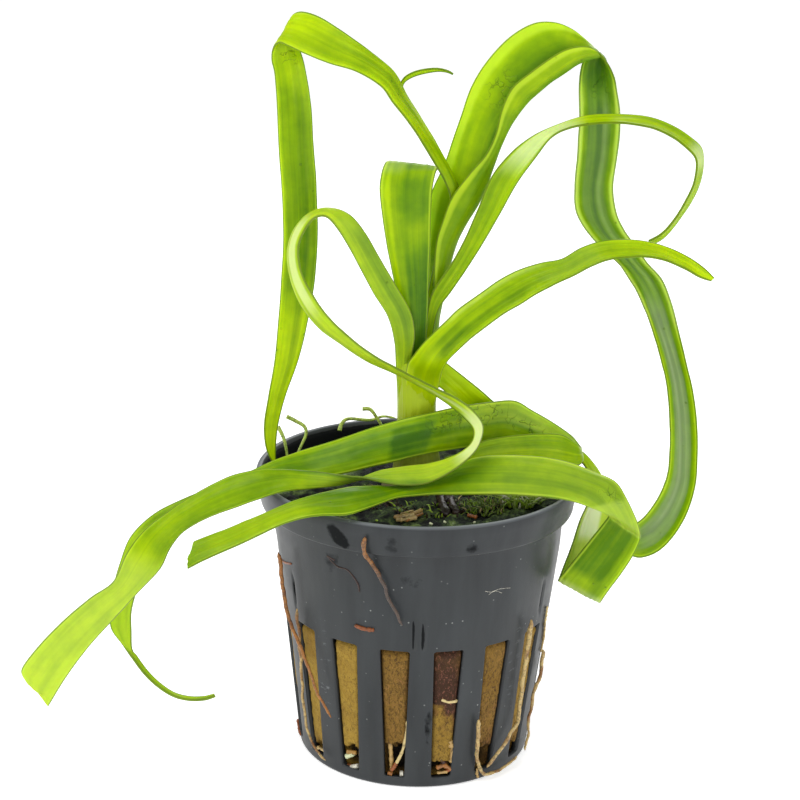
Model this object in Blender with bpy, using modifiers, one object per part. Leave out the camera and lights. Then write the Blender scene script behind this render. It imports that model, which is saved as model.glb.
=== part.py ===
"""Potted water onion: a net pot of rock wool, a bulb and nine strap leaves.

Run it with blender --background --python part.py, or from the text editor.
The origin is the centre of the pot's underside, +Z is up and +X is right as
the plant is seen from its front, which looks along +Y.
"""
import bmesh
import bpy
import math
from mathutils import Vector

MM = 0.001

# The net pot, in millimetres. It is the common five centimetre aquarium pot.
POT_HEIGHT = 50.0
BASE_RADIUS = 20.0
WALL_TOP_RADIUS = 25.1
LIP_HEIGHT = 5.5
LIP_LOWER_RADIUS = 26.7
RIM_RADIUS = 27.5
WALL = 1.15
FLOOR = 1.3
SLOTS = 16
SLOT_LOW = 1.9
SLOT_HIGH = 26.5
SLOT_WIDTH_LOW = 3.4
SLOT_WIDTH_HIGH = 5.1
SLOT_TURN = 13.4
RIM_SIDES = 48

# The rock wool plug and the bulb that sits half sunk in it.
WOOL_GAP = 0.35
WOOL_TOP = 46.2
BULB_RADIUS = 6.4
BULB_HEIGHT = 42.5
BULB_HOLLOW = 7.6
NECK_RADIUS = 3.2
NECK_TOP = 66.4
NECK_OFFSET = -0.8

# The leaves are set out as the eye sees them: right and up in millimetres on
# a plane through the middle of the rim, and near, the distance in front of
# the pot's own upright middle plane.
VIEW_TILT = math.radians(18.0)
VIEW_ROLL = math.radians(1.4)
EYE_RIGHT = -3.5
EYE_UP = 11.7
EYE_BACK = 347.0

LEAF_THICKNESS = 0.5
LEAF_ACROSS = 4
ROWS_PER_STATION = 1

ROOT_GAP = 0.5

RIGHT0 = Vector((1.0, 0.0, 0.0))
AHEAD = Vector((0.0, math.cos(VIEW_TILT), -math.sin(VIEW_TILT)))
UP0 = Vector((0.0, math.sin(VIEW_TILT), math.cos(VIEW_TILT)))
RIGHT = RIGHT0 * math.cos(VIEW_ROLL) + UP0 * math.sin(VIEW_ROLL)
UP = UP0 * math.cos(VIEW_ROLL) - RIGHT0 * math.sin(VIEW_ROLL)
RIM_CENTRE = Vector((0.0, 0.0, POT_HEIGHT))
EYE = RIM_CENTRE + RIGHT * EYE_RIGHT + UP * EYE_UP - AHEAD * EYE_BACK

# Each leaf is a list of stations from its base to its tip. A station holds
# the two edges, each as right, up and near, and last how far the middle of
# the leaf stands off the straight line between them, which makes its channel.
LEFT_ARCH = [
    (-1.6, 18.9, -2.4, 1.0, 18.9, -2.6, -0.2),
    (0.6, 27.5, -2.6, 2.5, 26.9, -2.9, -0.2),
    (2.3, 35.0, -2.8, 3.7, 34.2, -3.1, -0.2),
    (3.5, 41.5, -2.9, 5.5, 41.0, -3.3, -0.2),
    (5.0, 45.4, -2.9, 7.0, 45.6, -3.5, -0.2),
    (4.2, 48.6, -2.6, 6.0, 49.2, -3.9, -0.2),
    (1.5, 53.3, -1.8, 3.2, 54.6, -4.4, -0.2),
    (-1.5, 58.2, -1.4, 0.1, 59.8, -5.0, -0.2),
    (-4.6, 62.1, -1.8, -2.3, 63.7, -5.4, -0.2),
    (-6.8, 65.1, -2.2, -4.5, 67.7, -5.2, -0.2),
    (-11.0, 67.6, -2.8, -8.6, 71.2, -4.8, -0.2),
    (-15.6, 69.0, -3.2, -13.2, 74.5, -4.2, -0.2),
    (-19.6, 70.6, -3.4, -17.2, 77.0, -3.8, -0.2),
    (-22.4, 71.9, -3.6, -20.2, 77.9, -3.8, -0.1),
    (-24.1, 72.5, -4.6, -21.7, 77.3, -4.8, 0.0),
    (-25.2, 71.4, -6.2, -21.5, 75.6, -6.8, 0.0),
    (-25.4, 69.6, -6.6, -20.6, 71.8, -7.4, 0.1),
    (-24.9, 67.2, -6.4, -19.7, 68.6, -7.2, 0.3),
    (-24.5, 62.0, -6.2, -18.7, 62.6, -6.8, 0.5),
    (-24.2, 55.0, -6.0, -18.2, 55.2, -6.2, 0.6),
    (-23.7, 48.0, -5.6, -17.7, 48.0, -5.8, 0.6),
    (-23.4, 40.0, -5.0, -17.5, 40.0, -5.2, 0.5),
    (-23.7, 33.0, -4.4, -17.9, 33.0, -4.6, 0.4),
    (-24.2, 26.0, -3.8, -19.0, 26.0, -4.2, 0.3),
    (-24.9, 18.5, -3.0, -20.8, 18.5, -3.8, 0.2),
    (-26.0, 12.2, -2.0, -23.0, 12.4, -3.0, 0.1),
    (-26.7, 7.4, -1.4, -24.2, 7.6, -2.2, 0.0),
    (-26.4, 3.6, -1.0, -24.6, 4.0, -1.4, 0.0),
    (-25.3, 1.0, -0.8, -24.6, 1.3, -1.0, 0.0),
]

# The tall leaf is folded along its keel, so its middle is given as well.
TALL = [
    (-0.9, 19.3, -4.4, 1.5, 18.8, -1.3, 2.2, 19.1, -3.0),
    (0.8, 27.0, -4.9, 2.0, 27.0, -1.2, 3.1, 26.6, -3.0),
    (1.7, 33.0, -5.4, 2.2, 32.8, -1.1, 4.4, 32.0, -3.0),
    (1.8, 38.5, -5.8, 2.6, 38.4, -1.2, 5.6, 37.4, -3.1),
    (2.0, 43.0, -6.2, 3.8, 42.4, -1.4, 7.6, 41.8, -3.3),
    (2.8, 47.2, -6.5, 5.4, 46.4, -1.8, 9.7, 45.2, -3.5),
    (4.2, 51.8, -6.7, 8.4, 50.4, -2.4, 11.2, 48.9, -3.8),
    (5.4, 55.9, -6.8, 11.0, 53.4, -2.8, 12.3, 53.2, -4.2),
    (6.9, 60.2, -6.8, 12.7, 57.0, -3.1, 13.7, 56.7, -4.4),
    (8.6, 65.0, -6.8, 13.8, 61.2, -3.2, 15.8, 60.1, -4.6),
    (11.2, 69.3, -6.8, 15.6, 64.9, -3.1, 18.2, 63.1, -4.6),
    (15.0, 73.4, -6.8, 18.5, 67.4, -3.0, 21.2, 65.8, -4.6),
    (19.0, 75.8, -6.8, 21.8, 69.8, -3.0, 24.2, 67.8, -4.6),
    (22.5, 76.1, -6.8, 24.6, 71.4, -3.1, 26.6, 69.3, -4.7),
    (25.5, 75.1, -7.0, 27.3, 72.0, -3.6, 28.4, 69.9, -5.2),
    (28.2, 73.1, -7.8, 29.4, 71.6, -4.6, 30.0, 70.2, -6.0),
    (29.0, 71.6, -8.8, 31.0, 70.0, -5.6, 30.8, 70.4, -7.6),
    (27.6, 69.4, -8.6, 32.6, 67.6, -6.2, 30.4, 68.6, -8.6),
    (27.0, 65.6, -7.4, 33.5, 64.8, -6.0, 30.3, 65.2, -8.2),
    (27.0, 60.0, -6.8, 34.0, 60.0, -6.0, 30.5, 60.0, -8.0),
    (26.7, 54.0, -6.6, 33.7, 54.0, -5.8, 30.2, 54.0, -7.8),
    (26.2, 48.0, -6.2, 32.8, 48.0, -5.4, 29.4, 48.0, -7.4),
    (26.4, 43.8, -5.6, 33.4, 43.8, -4.8, 29.8, 43.8, -6.8),
    (28.0, 40.8, -4.8, 34.8, 40.6, -4.0, 31.2, 40.6, -6.0),
    (30.8, 37.6, -3.8, 36.7, 38.0, -3.2, 33.6, 37.6, -5.0),
    (33.3, 35.2, -3.0, 38.6, 35.2, -2.4, 35.8, 35.0, -4.2),
    (35.2, 32.7, -2.4, 41.2, 32.2, -1.6, 38.0, 32.2, -3.6),
    (37.2, 29.5, -1.8, 42.9, 28.0, -1.0, 39.8, 28.6, -3.0),
    (38.9, 25.0, -1.2, 44.0, 23.4, -0.4, 41.3, 24.0, -2.4),
    (40.6, 19.8, -0.6, 45.1, 19.0, 0.2, 42.8, 19.2, -1.8),
    (41.9, 14.2, 0.0, 46.3, 13.8, 0.8, 44.0, 14.0, -1.2),
    (42.4, 8.0, 0.6, 47.1, 7.8, 1.4, 44.7, 8.0, -0.6),
    (42.4, 2.6, 1.2, 47.2, 1.4, 2.0, 44.8, 2.0, 0.0),
    (41.9, -1.2, 1.8, 46.5, -4.4, 2.6, 44.4, -2.8, 0.6),
    (40.6, -4.6, 2.4, 44.2, -10.0, 3.0, 42.6, -7.2, 1.2),
    (38.8, -7.3, 3.0, 40.9, -13.8, 3.4, 40.0, -10.6, 1.8),
    (36.8, -9.2, 3.6, 37.6, -15.2, 3.8, 37.3, -12.2, 2.4),
    (34.9, -10.4, 4.0, 35.2, -14.6, 4.1, 35.0, -12.5, 3.2),
]

RING = [
    (-0.9, 18.0, -0.2, 1.5, 18.0, -0.4, 0.2),
    (0.7, 24.8, 0.0, 2.4, 24.2, -0.3, 0.2),
    (1.5, 28.8, 0.2, 3.3, 27.4, -0.2, 0.2),
    (2.7, 31.3, 0.4, 5.3, 30.2, 0.0, 0.2),
    (5.2, 34.9, 0.4, 7.9, 34.0, 0.0, 0.2),
    (7.6, 39.4, 0.2, 10.7, 38.4, -0.2, 0.3),
    (9.8, 44.4, 0.0, 13.7, 43.6, -0.4, 0.4),
    (12.0, 49.6, -0.2, 16.5, 48.6, -0.6, 0.4),
    (15.4, 53.9, -0.6, 19.7, 53.0, -0.6, 0.4),
    (19.2, 56.8, -1.4, 22.3, 56.3, -0.4, 0.3),
    (23.7, 58.8, -2.4, 25.2, 57.9, -0.2, 0.2),
    (28.5, 60.2, -2.8, 29.0, 58.6, -0.2, 0.2),
    (34.2, 60.4, -2.8, 34.2, 58.8, -0.2, 0.2),
    (39.2, 59.9, -2.6, 38.8, 58.1, 0.0, 0.2),
    (43.3, 58.3, -2.4, 42.5, 56.6, 0.2, 0.2),
    (46.4, 56.2, -2.2, 45.1, 54.8, 0.4, 0.2),
    (48.0, 54.4, -2.0, 46.7, 53.0, 0.6, 0.1),
    (48.2, 51.6, -1.8, 46.9, 51.0, 0.8, 0.1),
    (47.5, 48.2, -1.4, 46.3, 48.2, 1.0, 0.1),
    (45.9, 45.0, -1.0, 44.9, 45.2, 1.2, 0.1),
    (43.6, 41.7, -0.4, 43.0, 42.2, 1.2, 0.1),
    (41.4, 39.2, 0.2, 41.0, 40.1, 1.2, 0.1),
    (39.2, 38.0, 0.6, 38.8, 38.9, 1.2, 0.0),
]

RIGHT_LEAF = [
    (-2.2, 17.9, 3.3, 3.3, 15.4, 2.6, 1.1),
    (-1.2, 19.4, 3.6, 3.7, 16.7, 3.2, 1.0),
    (0.2, 21.2, 3.7, 4.6, 18.2, 3.9, 0.6),
    (2.1, 23.1, 3.7, 6.0, 19.7, 4.4, 0.3),
    (4.4, 25.3, 3.8, 7.8, 21.4, 4.9, 0.2),
    (6.5, 27.3, 3.9, 9.6, 22.9, 5.3, 0.2),
    (10.4, 30.1, 4.2, 13.9, 26.1, 5.8, 0.2),
    (13.4, 32.2, 4.4, 17.0, 27.9, 6.2, 0.2),
    (16.7, 33.9, 4.6, 19.6, 29.6, 6.6, 0.2),
    (20.5, 35.1, 4.6, 22.7, 31.2, 7.0, 0.2),
    (24.0, 35.8, 4.6, 25.7, 32.6, 7.2, 0.2),
    (27.2, 37.6, 4.6, 28.9, 34.3, 7.4, 0.2),
    (30.8, 38.8, 4.6, 31.8, 35.4, 7.6, 0.2),
    (34.8, 39.1, 4.7, 35.2, 35.9, 7.7, 0.2),
    (38.8, 38.7, 4.8, 38.4, 36.0, 7.7, 0.3),
    (42.6, 37.6, 5.0, 41.6, 35.4, 7.5, 0.3),
    (46.0, 35.9, 5.4, 44.8, 34.1, 7.2, 0.3),
    (48.5, 34.1, 5.8, 47.4, 32.6, 6.8, 0.2),
    (50.1, 32.5, 6.2, 49.4, 31.9, 6.5, 0.0),
]

FOLDED = [
    (-2.7, 17.8, 0.6, 0.8, 17.8, 0.3, -0.2),
    (-3.4, 24.5, 1.3, 1.1, 24.2, 0.8, -0.4),
    (-4.4, 31.0, 1.4, 1.4, 30.6, 1.0, -0.6),
    (-5.7, 37.5, 1.6, 1.6, 37.0, 1.2, -0.8),
    (-6.6, 43.5, 1.8, 1.8, 43.2, 1.4, -0.9),
    (-7.0, 47.5, 2.0, 2.0, 47.4, 1.6, -0.7),
    (-6.7, 50.2, 2.0, 2.3, 50.2, 1.6, -0.4),
    (-6.2, 51.8, 1.2, 2.5, 51.3, 0.8, -0.1),
    (-5.7, 52.3, -0.4, 2.3, 51.6, -0.4, 0.0),
    (-5.4, 51.6, -1.6, 1.9, 51.0, -1.2, 0.0),
    (-5.0, 49.4, -2.2, 1.0, 49.0, -1.8, 0.1),
    (-4.6, 45.0, -2.4, 0.4, 44.8, -2.0, 0.2),
    (-3.6, 40.0, -2.4, -0.2, 40.0, -2.2, 0.2),
    (-2.6, 36.0, -2.3, -1.4, 36.0, -2.3, 0.0),
]

LEFT_LOOP = [
    (-1.8, 17.2, 1.7, -4.2, 17.4, 1.5, 0.3),
    (-1.0, 22.4, 2.5, -4.5, 21.6, 2.1, 0.4),
    (-1.6, 26.6, 2.9, -5.6, 25.8, 2.7, 0.5),
    (-4.2, 31.3, 3.2, -8.0, 29.8, 3.1, 0.4),
    (-6.9, 35.9, 3.4, -10.1, 33.7, 3.6, 0.3),
    (-9.2, 39.9, 3.4, -12.2, 37.6, 4.2, 0.2),
    (-11.9, 43.2, 3.2, -14.2, 40.8, 4.8, 0.2),
    (-15.2, 44.4, 3.0, -16.1, 42.8, 5.2, 0.2),
    (-18.6, 43.7, 2.8, -18.1, 42.5, 5.4, 0.2),
    (-21.2, 41.3, 2.8, -19.7, 40.5, 5.4, 0.2),
    (-22.6, 37.7, 3.0, -20.7, 37.7, 5.4, 0.2),
    (-22.4, 33.4, 3.2, -20.3, 33.8, 5.4, 0.2),
    (-20.8, 28.6, 3.6, -18.6, 30.2, 5.4, 0.2),
    (-17.6, 24.2, 4.0, -15.9, 26.2, 5.6, 0.2),
    (-13.6, 21.2, 4.4, -12.3, 22.7, 6.2, 0.2),
    (-9.2, 18.4, 5.0, -8.5, 19.7, 7.4, 0.2),
    (-4.2, 16.2, 5.4, -3.9, 17.0, 8.6, 0.1),
    (0.3, 13.9, 5.6, 0.7, 14.7, 9.0, 0.1),
    (2.9, 12.2, 6.2, 3.6, 13.3, 9.2, 0.1),
    (5.1, 10.6, 7.4, 6.1, 12.1, 9.4, 0.1),
    (7.3, 8.7, 8.6, 8.9, 10.1, 9.6, 0.1),
    (8.9, 6.7, 9.8, 10.7, 7.5, 10.0, 0.1),
    (8.8, 4.8, 11.0, 10.3, 4.6, 11.4, 0.1),
    (7.3, 3.2, 12.2, 8.8, 2.2, 13.2, 0.1),
    (4.6, 1.8, 13.2, 5.6, -0.4, 15.2, 0.2),
    (0.8, 0.8, 13.8, 1.4, -2.5, 16.6, 0.4),
    (-3.2, 0.3, 14.0, -2.6, -2.9, 17.2, 0.4),
    (-7.2, -0.4, 13.8, -6.0, -2.5, 17.2, 0.2),
    (-10.6, -1.8, 13.4, -9.4, -1.6, 16.6, 0.0),
    (-14.2, -2.9, 14.4, -13.4, -1.0, 15.2, -0.1),
    (-18.6, -3.5, 15.4, -17.6, -0.5, 13.8, -0.2),
    (-23.4, -4.0, 16.4, -22.6, -0.1, 13.2, -0.4),
    (-28.0, -5.4, 16.6, -27.2, -0.1, 14.0, -0.6),
    (-31.6, -6.7, 16.6, -32.2, -1.2, 14.6, -0.6),
    (-36.4, -8.5, 16.6, -37.6, -3.8, 15.2, -0.6),
    (-40.4, -10.8, 16.8, -43.2, -7.4, 15.8, -0.5),
    (-42.6, -13.6, 17.2, -47.4, -10.8, 16.6, -0.4),
    (-44.4, -17.2, 17.6, -50.2, -14.6, 17.4, -0.3),
    (-48.0, -21.0, 18.0, -52.4, -19.2, 18.2, -0.2),
    (-51.8, -25.2, 18.4, -56.2, -21.9, 18.8, -0.2),
    (-56.2, -30.0, 18.8, -60.6, -25.6, 19.2, -0.2),
    (-60.0, -35.0, 19.2, -65.0, -30.1, 19.6, -0.2),
    (-62.5, -39.0, 19.4, -68.0, -34.2, 19.8, -0.1),
    (-63.7, -40.3, 19.5, -66.2, -37.4, 19.7, -0.1),
]

THIN = [
    (-2.9, 19.2, -4.4, -2.0, 19.2, -4.4, 0.0),
    (-1.3, 28.0, -5.6, -0.4, 28.0, -5.8, 0.0),
    (1.6, 36.0, -6.6, 2.5, 35.8, -6.8, 0.0),
    (4.4, 43.0, -8.0, 5.3, 42.8, -8.2, 0.0),
    (4.4, 48.8, -8.4, 5.2, 49.0, -8.6, 0.0),
    (2.0, 53.6, -8.4, 2.8, 54.2, -8.6, 0.0),
    (-1.1, 58.6, -8.4, -0.3, 59.2, -8.6, 0.0),
    (-3.2, 62.6, -8.2, -2.5, 62.7, -8.4, 0.0),
    (-3.7, 64.8, -8.0, -3.0, 64.4, -8.2, 0.0),
    (-3.0, 66.5, -7.8, -2.7, 65.7, -8.0, 0.0),
    (-1.6, 67.5, -7.6, -1.4, 66.6, -7.8, 0.0),
    (0.4, 68.1, -7.4, 0.5, 67.2, -7.6, 0.0),
    (2.8, 68.3, -7.2, 2.8, 67.6, -7.4, 0.0),
    (4.6, 67.9, -7.0, 4.4, 67.5, -7.2, 0.0),
    (5.6, 67.3, -6.9, 5.5, 67.1, -7.0, 0.0),
]

ACROSS_BACK = [
    (4.2, 1.9, 5.0, 4.0, -1.6, 5.6, 0.1),
    (7.4, 3.0, 4.0, 7.2, -0.6, 5.2, 0.1),
    (10.6, 4.7, 3.0, 10.6, 0.6, 4.6, 0.2),
    (15.0, 5.6, 1.8, 15.0, 0.9, 3.8, 0.2),
    (20.4, 6.0, 0.6, 20.2, 1.1, 3.0, 0.2),
    (24.0, 5.8, -0.2, 24.2, 0.5, 2.4, 0.1),
    (26.2, 4.5, 0.0, 26.8, 0.5, 2.4, 0.0),
    (27.0, 3.7, -0.8, 27.6, 1.2, 1.2, 0.0),
    (27.2, 3.8, -2.2, 27.4, 1.8, -0.4, 0.0),
    (26.7, 4.6, -3.4, 26.6, 2.2, -1.8, 0.0),
    (25.6, 5.8, -4.4, 24.8, 2.5, -3.0, 0.0),
    (22.6, 7.9, -5.8, 21.0, 2.8, -4.2, 0.1),
    (19.0, 10.0, -5.9, 17.2, 3.6, -4.0, 0.2),
    (16.0, 11.6, -5.7, 13.4, 4.2, -3.2, 0.2),
    (12.0, 11.4, -3.4, 9.8, 3.8, -0.6, 0.3),
    (7.4, 10.8, 0.6, 5.4, 3.2, 3.2, 0.4),
    (2.6, 9.8, 4.5, 0.6, 2.4, 6.6, 0.4),
    (-3.0, 8.5, 5.0, -4.2, 1.2, 7.4, 0.4),
    (-8.6, 6.9, 4.4, -8.6, 0.2, 7.4, 0.4),
    (-14.5, 4.9, 4.0, -13.2, -0.9, 7.6, 0.4),
    (-20.3, 3.1, 4.2, -18.5, -1.8, 8.4, 0.3),
    (-25.5, 1.2, 6.0, -23.8, -1.6, 10.0, 0.2),
    (-29.6, -0.7, 8.0, -28.5, -3.2, 11.0, 0.1),
    (-34.6, -2.7, 9.0, -33.5, -5.8, 11.6, 0.1),
    (-40.2, -5.0, 9.8, -38.6, -8.6, 12.0, 0.1),
    (-45.5, -7.7, 10.4, -43.0, -11.4, 12.4, 0.1),
    (-49.3, -11.4, 11.0, -46.0, -14.6, 12.6, 0.1),
    (-51.2, -16.0, 11.6, -47.4, -17.8, 12.8, 0.1),
    (-52.4, -20.2, 12.2, -48.4, -21.0, 13.0, 0.1),
    (-53.0, -24.2, 12.8, -49.2, -24.4, 13.2, 0.0),
    (-52.7, -27.3, 13.4, -49.2, -27.9, 13.4, 0.0),
    (-50.9, -29.9, 13.8, -49.1, -30.6, 13.6, 0.0),
    (-49.2, -32.2, 14.2, -48.4, -31.8, 13.2, 0.0),
    (-47.2, -34.9, 14.8, -46.6, -34.3, 13.8, 0.0),
    (-44.9, -37.1, 15.4, -44.5, -36.4, 14.4, 0.0),
    (-42.2, -38.8, 16.0, -42.0, -38.1, 15.0, 0.0),
    (-39.4, -39.5, 16.6, -39.4, -38.8, 15.6, 0.0),
    (-36.8, -39.4, 17.2, -36.9, -38.8, 16.2, 0.0),
    (-35.0, -38.8, 17.6, -35.1, -38.4, 16.8, 0.0),
]

ACROSS_FRONT = [
    (3.4, 18.7, -1.4, 3.0, 13.9, -1.5, 0.0),
    (6.0, 16.8, -2.0, 5.2, 11.9, -2.1, 0.1),
    (9.8, 13.8, -3.8, 7.8, 9.0, -4.2, 0.2),
    (14.2, 10.1, -7.0, 12.0, 5.4, -6.4, 0.2),
    (19.6, 6.8, -8.4, 17.6, 2.2, -7.4, 0.2),
    (24.6, 4.4, -7.4, 23.2, 1.4, -6.4, 0.1),
    (27.6, 2.9, -6.4, 26.4, 1.7, -5.2, 0.0),
    (29.3, 1.2, -4.6, 28.4, -0.4, -2.6, 0.0),
    (30.7, -0.8, -2.4, 28.7, -2.6, 1.4, 0.0),
    (31.8, -3.0, -0.6, 28.6, -4.2, 4.0, 0.1),
    (32.4, -5.4, 0.4, 28.4, -5.8, 5.4, 0.1),
    (32.3, -9.4, 1.2, 27.1, -8.8, 5.0, 0.1),
    (31.7, -14.2, 2.6, 25.6, -13.2, 5.6, 0.1),
    (31.2, -19.0, 4.6, 24.1, -17.2, 6.6, 0.1),
    (30.8, -21.9, 6.6, 23.5, -18.7, 7.8, 0.0),
    (30.6, -22.9, 8.8, 23.4, -19.0, 9.4, 0.0),
    (31.1, -22.2, 10.8, 23.9, -18.2, 10.8, 0.0),
    (32.4, -20.3, 11.6, 25.4, -16.4, 11.6, -0.1),
    (34.3, -17.8, 11.6, 27.7, -13.6, 11.4, -0.1),
    (36.0, -15.2, 11.0, 29.9, -10.8, 10.8, -0.1),
    (37.0, -13.2, 10.4, 31.3, -9.0, 10.4, 0.0),
    (37.5, -11.8, 10.6, 32.0, -8.0, 10.9, 0.0),
    (37.5, -10.8, 12.0, 31.6, -7.6, 12.4, 0.0),
    (36.8, -8.6, 12.6, 30.4, -7.1, 13.6, 0.1),
    (35.2, -5.2, 11.8, 28.6, -6.5, 14.6, 0.2),
    (33.2, -2.2, 10.6, 26.4, -5.8, 15.8, 0.2),
    (29.8, -0.6, 9.8, 23.8, -5.2, 17.0, 0.2),
    (25.4, 1.0, 9.6, 20.5, -4.9, 16.6, 0.3),
    (20.8, 2.0, 9.4, 16.2, -4.6, 16.2, 0.3),
    (15.4, 2.3, 9.2, 11.0, -4.5, 15.8, 0.3),
    (9.8, 2.0, 9.2, 5.6, -4.5, 15.8, 0.3),
    (4.0, -0.4, 10.6, 0.6, -4.6, 16.6, 0.3),
    (-2.4, -2.8, 13.8, -4.4, -5.2, 19.4, 0.3),
    (-8.4, -2.9, 17.6, -8.8, -6.8, 23.4, 0.3),
    (-13.2, -3.3, 20.4, -12.4, -7.9, 26.8, 0.3),
    (-18.6, -4.6, 22.0, -17.4, -8.1, 27.6, 0.3),
    (-24.0, -6.5, 23.0, -22.6, -9.2, 28.0, 0.3),
    (-30.0, -9.0, 23.8, -29.0, -12.2, 28.0, 0.3),
    (-35.4, -11.1, 24.4, -35.0, -14.8, 28.2, 0.2),
    (-38.6, -12.4, 25.0, -39.2, -17.2, 28.0, 0.1),
]

# Roots on the outside of the pot, each as a radius, how much further than
# the common gap it stands off the wall, and its way down as right and up.
ROOTS = {
    "root_left": (0.5, 1.1, [
        (-24.2, -14.4), (-23.9, -17.0), (-23.3, -21.5), (-22.2, -26.0),
        (-20.4, -30.6), (-19.0, -34.4), (-17.2, -39.0), (-15.2, -42.4)]),
    "root_left_pale": (0.42, 0.0, [
        (-21.1, -23.8), (-20.6, -29.0), (-20.3, -36.0), (-19.6, -42.5),
        (-18.2, -47.2), (-16.2, -49.6)]),
    "root_front": (0.42, 0.0, [
        (-9.5, -11.8), (-9.4, -14.4), (-7.8, -17.0), (-6.5, -19.6),
        (-5.0, -23.0), (-3.0, -26.6)]),
    "root_right": (0.6, 0.0, [
        (18.9, -25.6), (18.3, -30.0), (17.5, -35.5), (16.8, -41.0),
        (15.9, -44.4), (12.6, -49.2), (11.2, -51.0)]),
    "root_right_edge": (0.5, 0.0, [
        (20.8, -30.8), (20.6, -34.0), (19.6, -37.4), (18.7, -41.4),
        (18.3, -45.0), (17.9, -48.0)]),
    "root_low": (0.5, 0.0, [
        (9.9, -42.8), (9.7, -47.0), (9.8, -50.0), (11.0, -51.9),
        (13.6, -51.2), (16.4, -49.0)]),
}

# Thin pale shoots that stand up from the wool at the back left.
ROOTLETS = {
    "rootlet_left": [
        (-24.3, 7.2, -7.0), (-23.4, 5.4, -6.6), (-22.9, 3.4, -6.2),
        (-22.5, 0.6, -5.6)],
    "rootlet_hooked": [
        (-22.8, 8.9, -9.0), (-21.4, 8.2, -9.0), (-19.8, 7.2, -8.8),
        (-19.5, 5.9, -8.4), (-20.1, 4.4, -8.0), (-21.0, 2.4, -7.2),
        (-21.4, 0.6, -6.6)],
    "rootlet_back": [
        (-13.8, 6.5, -12.0), (-13.4, 7.7, -12.8), (-12.2, 8.5, -13.4),
        (-8.6, 8.3, -13.6), (-6.4, 8.9, -13.8), (-4.2, 8.6, -13.6)],
    "rootlet_middle": [
        (-9.9, 10.2, -7.4), (-8.6, 10.1, -7.4), (-7.6, 8.9, -7.2),
        (-6.6, 7.2, -7.0), (-6.0, 4.6, -6.8)],
}
ROOTLET_RADIUS = 0.38

LEAF_GREEN = (0.33, 0.50, 0.02)
LEAF_DARK = (0.13, 0.28, 0.02)


def material(name, colour, roughness, metallic=0.0):
    """A plain Principled finish."""
    made = bpy.data.materials.new(name)
    made.use_nodes = True
    shader = made.node_tree.nodes["Principled BSDF"]
    shader.inputs["Base Color"].default_value = (*colour, 1.0)
    shader.inputs["Roughness"].default_value = roughness
    shader.inputs["Metallic"].default_value = metallic
    return made


def collection(name):
    made = bpy.data.collections.new(name)
    bpy.context.scene.collection.children.link(made)
    return made


def add_object(name, data, group, finish=None):
    made = bpy.data.objects.new(name, data)
    group.objects.link(made)
    if finish is not None:
        data.materials.append(finish)
    return made


def sighted(right, up, near):
    """The point on one line of sight that stands near in front of the pot's
    upright middle plane, in millimetres."""
    seen = RIM_CENTRE + RIGHT * right + UP * up
    share = (-near - seen.y) / (EYE.y - seen.y)
    return seen.lerp(EYE, share)


def wall_radius(height):
    """The outer radius of the pot's wall or lip at a height."""
    lip_low = POT_HEIGHT - LIP_HEIGHT
    if height >= lip_low:
        share = (height - lip_low) / LIP_HEIGHT
        return LIP_LOWER_RADIUS + (RIM_RADIUS - LIP_LOWER_RADIUS) * min(share, 1.0)
    share = max(height, 0.0) / lip_low
    return BASE_RADIUS + (WALL_TOP_RADIUS - BASE_RADIUS) * share


def on_wall(right, up, lift):
    """Where a line of sight first comes within lift of the pot's outside."""
    near = RIM_RADIUS + 4.0
    while near > 0.0:
        point = sighted(right, up, near)
        if math.hypot(point.x, point.y) <= wall_radius(point.z) + lift:
            return point
        near -= 0.05
    point = sighted(right, up, 0.0)
    reach = wall_radius(point.z) + lift
    return point * 1.0 if abs(point.x) > reach else Vector((reach, 0.0, point.z))


def smooth_points(points, per_span):
    """A smooth curve through points: each span is a Hermite cubic whose end
    slopes are half the step between the neighbours on both sides."""
    made = []
    last = len(points) - 1
    for index in range(last):
        a = points[max(index - 1, 0)]
        b = points[index]
        c = points[index + 1]
        d = points[min(index + 2, last)]
        for step in range(per_span):
            t = step / per_span
            made.append(
                b * (2 * t**3 - 3 * t**2 + 1) + c * (3 * t**2 - 2 * t**3)
                + (c - a) * 0.5 * (t**3 - 2 * t**2 + t)
                + (d - b) * 0.5 * (t**3 - t**2))
    made.append(points[last])
    return made


def leaf_edges(stations):
    """The two edges and the middle line of a leaf, as points in space."""
    first = [sighted(*station[0:3]) for station in stations]
    second = [sighted(*station[3:6]) for station in stations]
    middle = []
    for index, station in enumerate(stations):
        if len(station) == 9:
            middle.append(sighted(*station[6:9]))
            continue
        ahead = min(index + 1, len(stations) - 1)
        behind = max(index - 1, 0)
        along = (first[ahead] + second[ahead]) - (first[behind] + second[behind])
        across = second[index] - first[index]
        proud = along.cross(across).normalized()
        middle.append((first[index] + second[index]) * 0.5 + proud * station[6])
    return first, middle, second


def leaf(name, stations, group, finish):
    """A strap leaf: each row is the parabola through its two edges and its
    middle, and the sheet of rows is given its thickness."""
    rows = [smooth_points(line, ROWS_PER_STATION) for line in leaf_edges(stations)]
    sheet = bmesh.new()
    grid = []
    for one, centre, other in zip(*rows):
        line = []
        for step in range(LEAF_ACROSS + 1):
            t = step / LEAF_ACROSS
            point = (one * (1 - t) * (1 - 2 * t) + centre * 4 * t * (1 - t)
                     + other * t * (2 * t - 1))
            line.append(sheet.verts.new(point * MM))
        grid.append(line)
    for low, high in zip(grid, grid[1:]):
        for step in range(LEAF_ACROSS):
            sheet.faces.new((low[step], low[step + 1], high[step + 1], high[step]))
    data = bpy.data.meshes.new(name)
    sheet.to_mesh(data)
    sheet.free()
    made = add_object(name, data, group, finish)
    wall = made.modifiers.new("Thickness", "SOLIDIFY")
    wall.thickness = LEAF_THICKNESS * MM
    wall.offset = 0.0
    data.shade_smooth()
    return made


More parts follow.
